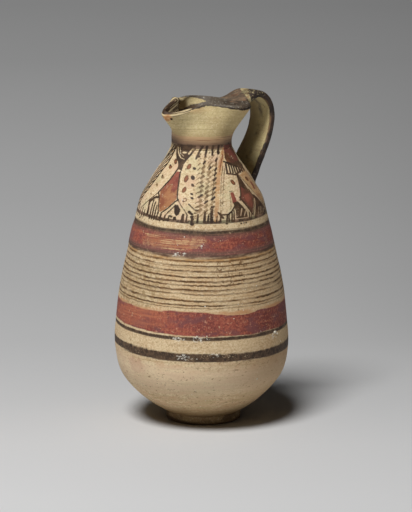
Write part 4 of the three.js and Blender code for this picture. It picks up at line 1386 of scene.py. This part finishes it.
def make_luting(name, piece, rings, run, spread):
    """Pressed clay that carries the strap into a wall: a skirt from the strap's skin to the wall's, all round it. It
    runs that far up the strap and spreads that far on the wall, in millimetres."""
    wall = wall_of(piece)
    steps = rings.shape[1]
    rows = []
    centres = rings.mean(axis=1)
    for j in range(steps):
        path = [Vector(p) * MM for p in rings[::-1, j]]
        corner, gone = meeting(wall, path)
        lengths = lengths_along(np.array(path))
        back = max(gone - run * MM, 0.0)
        k = min(int(np.searchsorted(lengths, back, side="right")), len(path) - 1)
        start = path[k - 1].lerp(path[k], (back - lengths[k - 1]) / (lengths[k] - lengths[k - 1]))
        centre = Vector(centres[::-1][k]) * MM
        outward = (path[k] - centre).normalized()
        end, face, _, _ = wall.find_nearest(corner + outward * spread * MM)
        full = corner + (outward + face) * SKIRT_FULLNESS * MM
        curve = []
        for t in np.linspace(0, 1, SKIRT_STEPS):
            at = start * (1 - t) ** 2 + full * 2 * t * (1 - t) + end * t**2
            at += (outward + face) * SKIRT_ROUGHNESS * MM * noise.noise(at / (3 * MM)) * math.sin(math.pi * t)
            curve.append(at)
        curve[0] -= outward * SKIN_DEPTH * MM
        curve[-1] -= face * SKIN_DEPTH * MM
        backs = ((end, face), (corner, face + outward), (start, outward))
        curve += [place - way * SUNK_DEPTH * MM for place, way in backs]
        rows.append([tuple(v / MM) for v in curve])
    shape = np.array(rows).transpose(1, 0, 2)
    return looped(name, len(shape), steps, shape)


# Crusts of lime on the body: degrees from the front, height and width
CRUSTS = [(57, 46.3, 1.8), (60, 45.2, 1.1), (54.5, 45.6, 0.9), (-20, 85.2, 0.9), (-17, 84.6, 0.6), (-22, 84.4, 0.6),
          (0, 88.4, 0.7), (-3, 48.0, 0.9), (0, 47.4, 0.7), (3.5, 48.2, 0.7), (-3, 37.6, 0.7), (10, 39.4, 0.9),
          (22, 55.8, 0.7), (41, 25.5, 0.9), (64, 41.0, 0.7), (-10, 37.0, 0.6), (2, 26.0, 0.6), (130, 62.0, 1.2),
          (-120, 70.0, 0.9), (-160, 47.0, 1.0), (160, 86.0, 0.8), (-100, 40.0, 0.9)]


def make_crusts(body):
    """Small crusts of lime that stick to the body's skin."""
    wall = wall_of(body)
    bm = bmesh.new()
    for number, (angle, height, width) in enumerate(CRUSTS):
        place, face, _, _ = wall.find_nearest(Vector(on_front(angle, height)) * MM)
        turn = face.to_track_quat("Z", "Y").to_matrix().to_4x4()
        size = [width * MM * share for share in (0.5, 0.36 + 0.1 * math.sin(3 * number), 0.26)]
        lump = bmesh.ops.create_icosphere(bm, subdivisions=3, radius=1, matrix=Matrix.Identity(4))["verts"]
        for vert in lump:
            rough = 1 + 0.5 * noise.noise(vert.co * 2.1 + Vector((number, 0, 0)))
            vert.co = Matrix.Translation(place) @ turn @ Matrix.Diagonal((*size, 1)) @ (vert.co * rough)
    return as_object("lime_crusts", bm)


# The camera

def aim_camera():
    """Sets the camera; returns the ways to its right and straight behind the pot, both level."""
    up, turn = math.radians(VIEW_UP), math.radians(90 + VIEW_ROUND)
    across = Vector((math.sin(turn), -math.cos(turn), 0))
    away = Vector((math.cos(turn) * math.cos(up), math.sin(turn) * math.cos(up), -math.sin(up)))
    data = bpy.data.cameras.new("camera")
    data.lens = VIEW_LENS
    data.clip_end = 50
    camera = bpy.data.objects.new("camera", data)
    aim = Vector((0, 0, VIEW_HEIGHT * MM)) + across * VIEW_SHIFT * MM
    camera.location = aim - away * VIEW_DISTANCE * MM
    camera.rotation_euler = away.to_track_quat("-Z", "Y").to_euler()
    bpy.context.scene.collection.objects.link(camera)
    bpy.context.scene.camera = camera
    return across, Vector((away.x, away.y, 0)).normalized()


# Screen greys of the studio floor at distances behind the pot, in metres
FLOOR_GREYS = [(-0.15, 211), (-0.05, 203), (0.03, 192), (0.17, 179), (0.35, 170), (0.67, 160), (1.16, 149),
               (1.74, 138), (2.6, 130)]
FLOOR_RADIUS = 12  # in metres
FLOOR_LIGHT = 0.925  # how brightly the lamp and the room light the open floor


def make_floor(across, behind):
    """A wide plain floor, pale in front and greyer far behind, as the studio's light falls on it."""
    bm = bmesh.new()
    bmesh.ops.create_circle(bm, cap_ends=True, segments=96, radius=FLOOR_RADIUS)
    floor = as_object("studio_floor", bm)
    g = Skin("studio floor")
    depth, side = (g.vector("DOT_PRODUCT", g.place(), tuple(way)) for way in (behind, across))
    low, high = FLOOR_GREYS[0][0], FLOOR_GREYS[-1][0]
    tones = g.node("ShaderNodeValToRGB", {"Fac": (depth - low) / (high - low)})
    stops = tones.color_ramp.elements
    while len(stops) < len(FLOOR_GREYS):
        stops.new(0.5)
    for stop, (distance, grey) in zip(stops, FLOOR_GREYS):
        stop.position = (distance - low) / (high - low)
        stop.color = tuple(v / FLOOR_LIGHT for v in srgb(grey, grey, grey)[:3]) + (1.0,)

    # painted shade: the floor is painted a little darker to the right, and a painted shadow darkens it more behind the
    # pot
    reach = side / (depth * 0.16 + 0.2)
    painted_shadow = g.ramp(depth, 0.02, 0.25) * g.ramp(depth, 0.8, 2, 0.2, 0.09) * g.ramp(reach, 0, 1)
    share = g.ramp(reach, -1, 1, 1.02, 0.86) - painted_shadow
    colour = g.vector("MULTIPLY", Value(g, tones.outputs[0]), g.combine(share, share, share))
    g.shade(Base_Color=colour, Roughness=0.95, Specular_IOR_Level=0.1)
    floor.data.materials.append(g.material)


def make_light(across, behind):
    """One soft lamp high in front and a little to the left, in a dim room."""
    turn, rise = math.radians(LIGHT_TURN), math.radians(LIGHT_RISE)
    level = math.sin(turn) * across - math.cos(turn) * behind
    towards = math.cos(rise) * level + math.sin(rise) * Vector((0, 0, 1))
    data = bpy.data.lights.new("key", "SUN")
    data.energy = LIGHT_POWER
    data.angle = math.radians(LIGHT_BREADTH)
    lamp = bpy.data.objects.new("key", data)
    lamp.rotation_euler = (-towards).to_track_quat("-Z", "Y").to_euler()
    bpy.context.scene.collection.objects.link(lamp)
    world = bpy.data.worlds.new("room")
    bpy.context.scene.world = world
    world.use_nodes = True
    g = Graph(world.node_tree)
    back = world.node_tree.nodes["Background"]
    back.inputs["Color"].default_value = (1, 1, 1, 1)
    seen = g.value("ShaderNodeLightPath", "Is Camera Ray")
    g.put(back.inputs["Strength"], seen * (ROOM_SEEN - ROOM_LIGHT) + ROOM_LIGHT)


def dress(piece, node, material):
    piece.data.materials.append(material)
    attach(piece, "root")
    if node:
        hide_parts(node)


across, behind = aim_camera()
make_floor(across, behind)
make_light(across, behind)

body = make_body()
mouth = make_mouth()
strap = make_strap()
rings = strap_rings(SKIRT_POINTS)
upper = make_luting("upper_pressed_clay", mouth, rings[2:40], run=4.2, spread=2.6)
lower = make_luting("lower_pressed_clay", body, rings[::-1][3:48], run=4.6, spread=3.2)
for skirt in (upper, lower):
    fields_of_strap(skirt, coordinates(skirt))
dark_paint = handle_material()
dress(body, "body_wall", body_material())
dress(mouth, "neck_and_mouth", mouth_material())
dress(make_foot(), "foot_disc", foot_material())
dress(strap, "strap_handle", dark_paint)
dress(upper, "upper_luting", dark_paint)
dress(lower, "lower_luting", dark_paint)
dress(make_crusts(body), None, lime_material())

bpy.context.scene.view_settings.view_transform = "Standard"
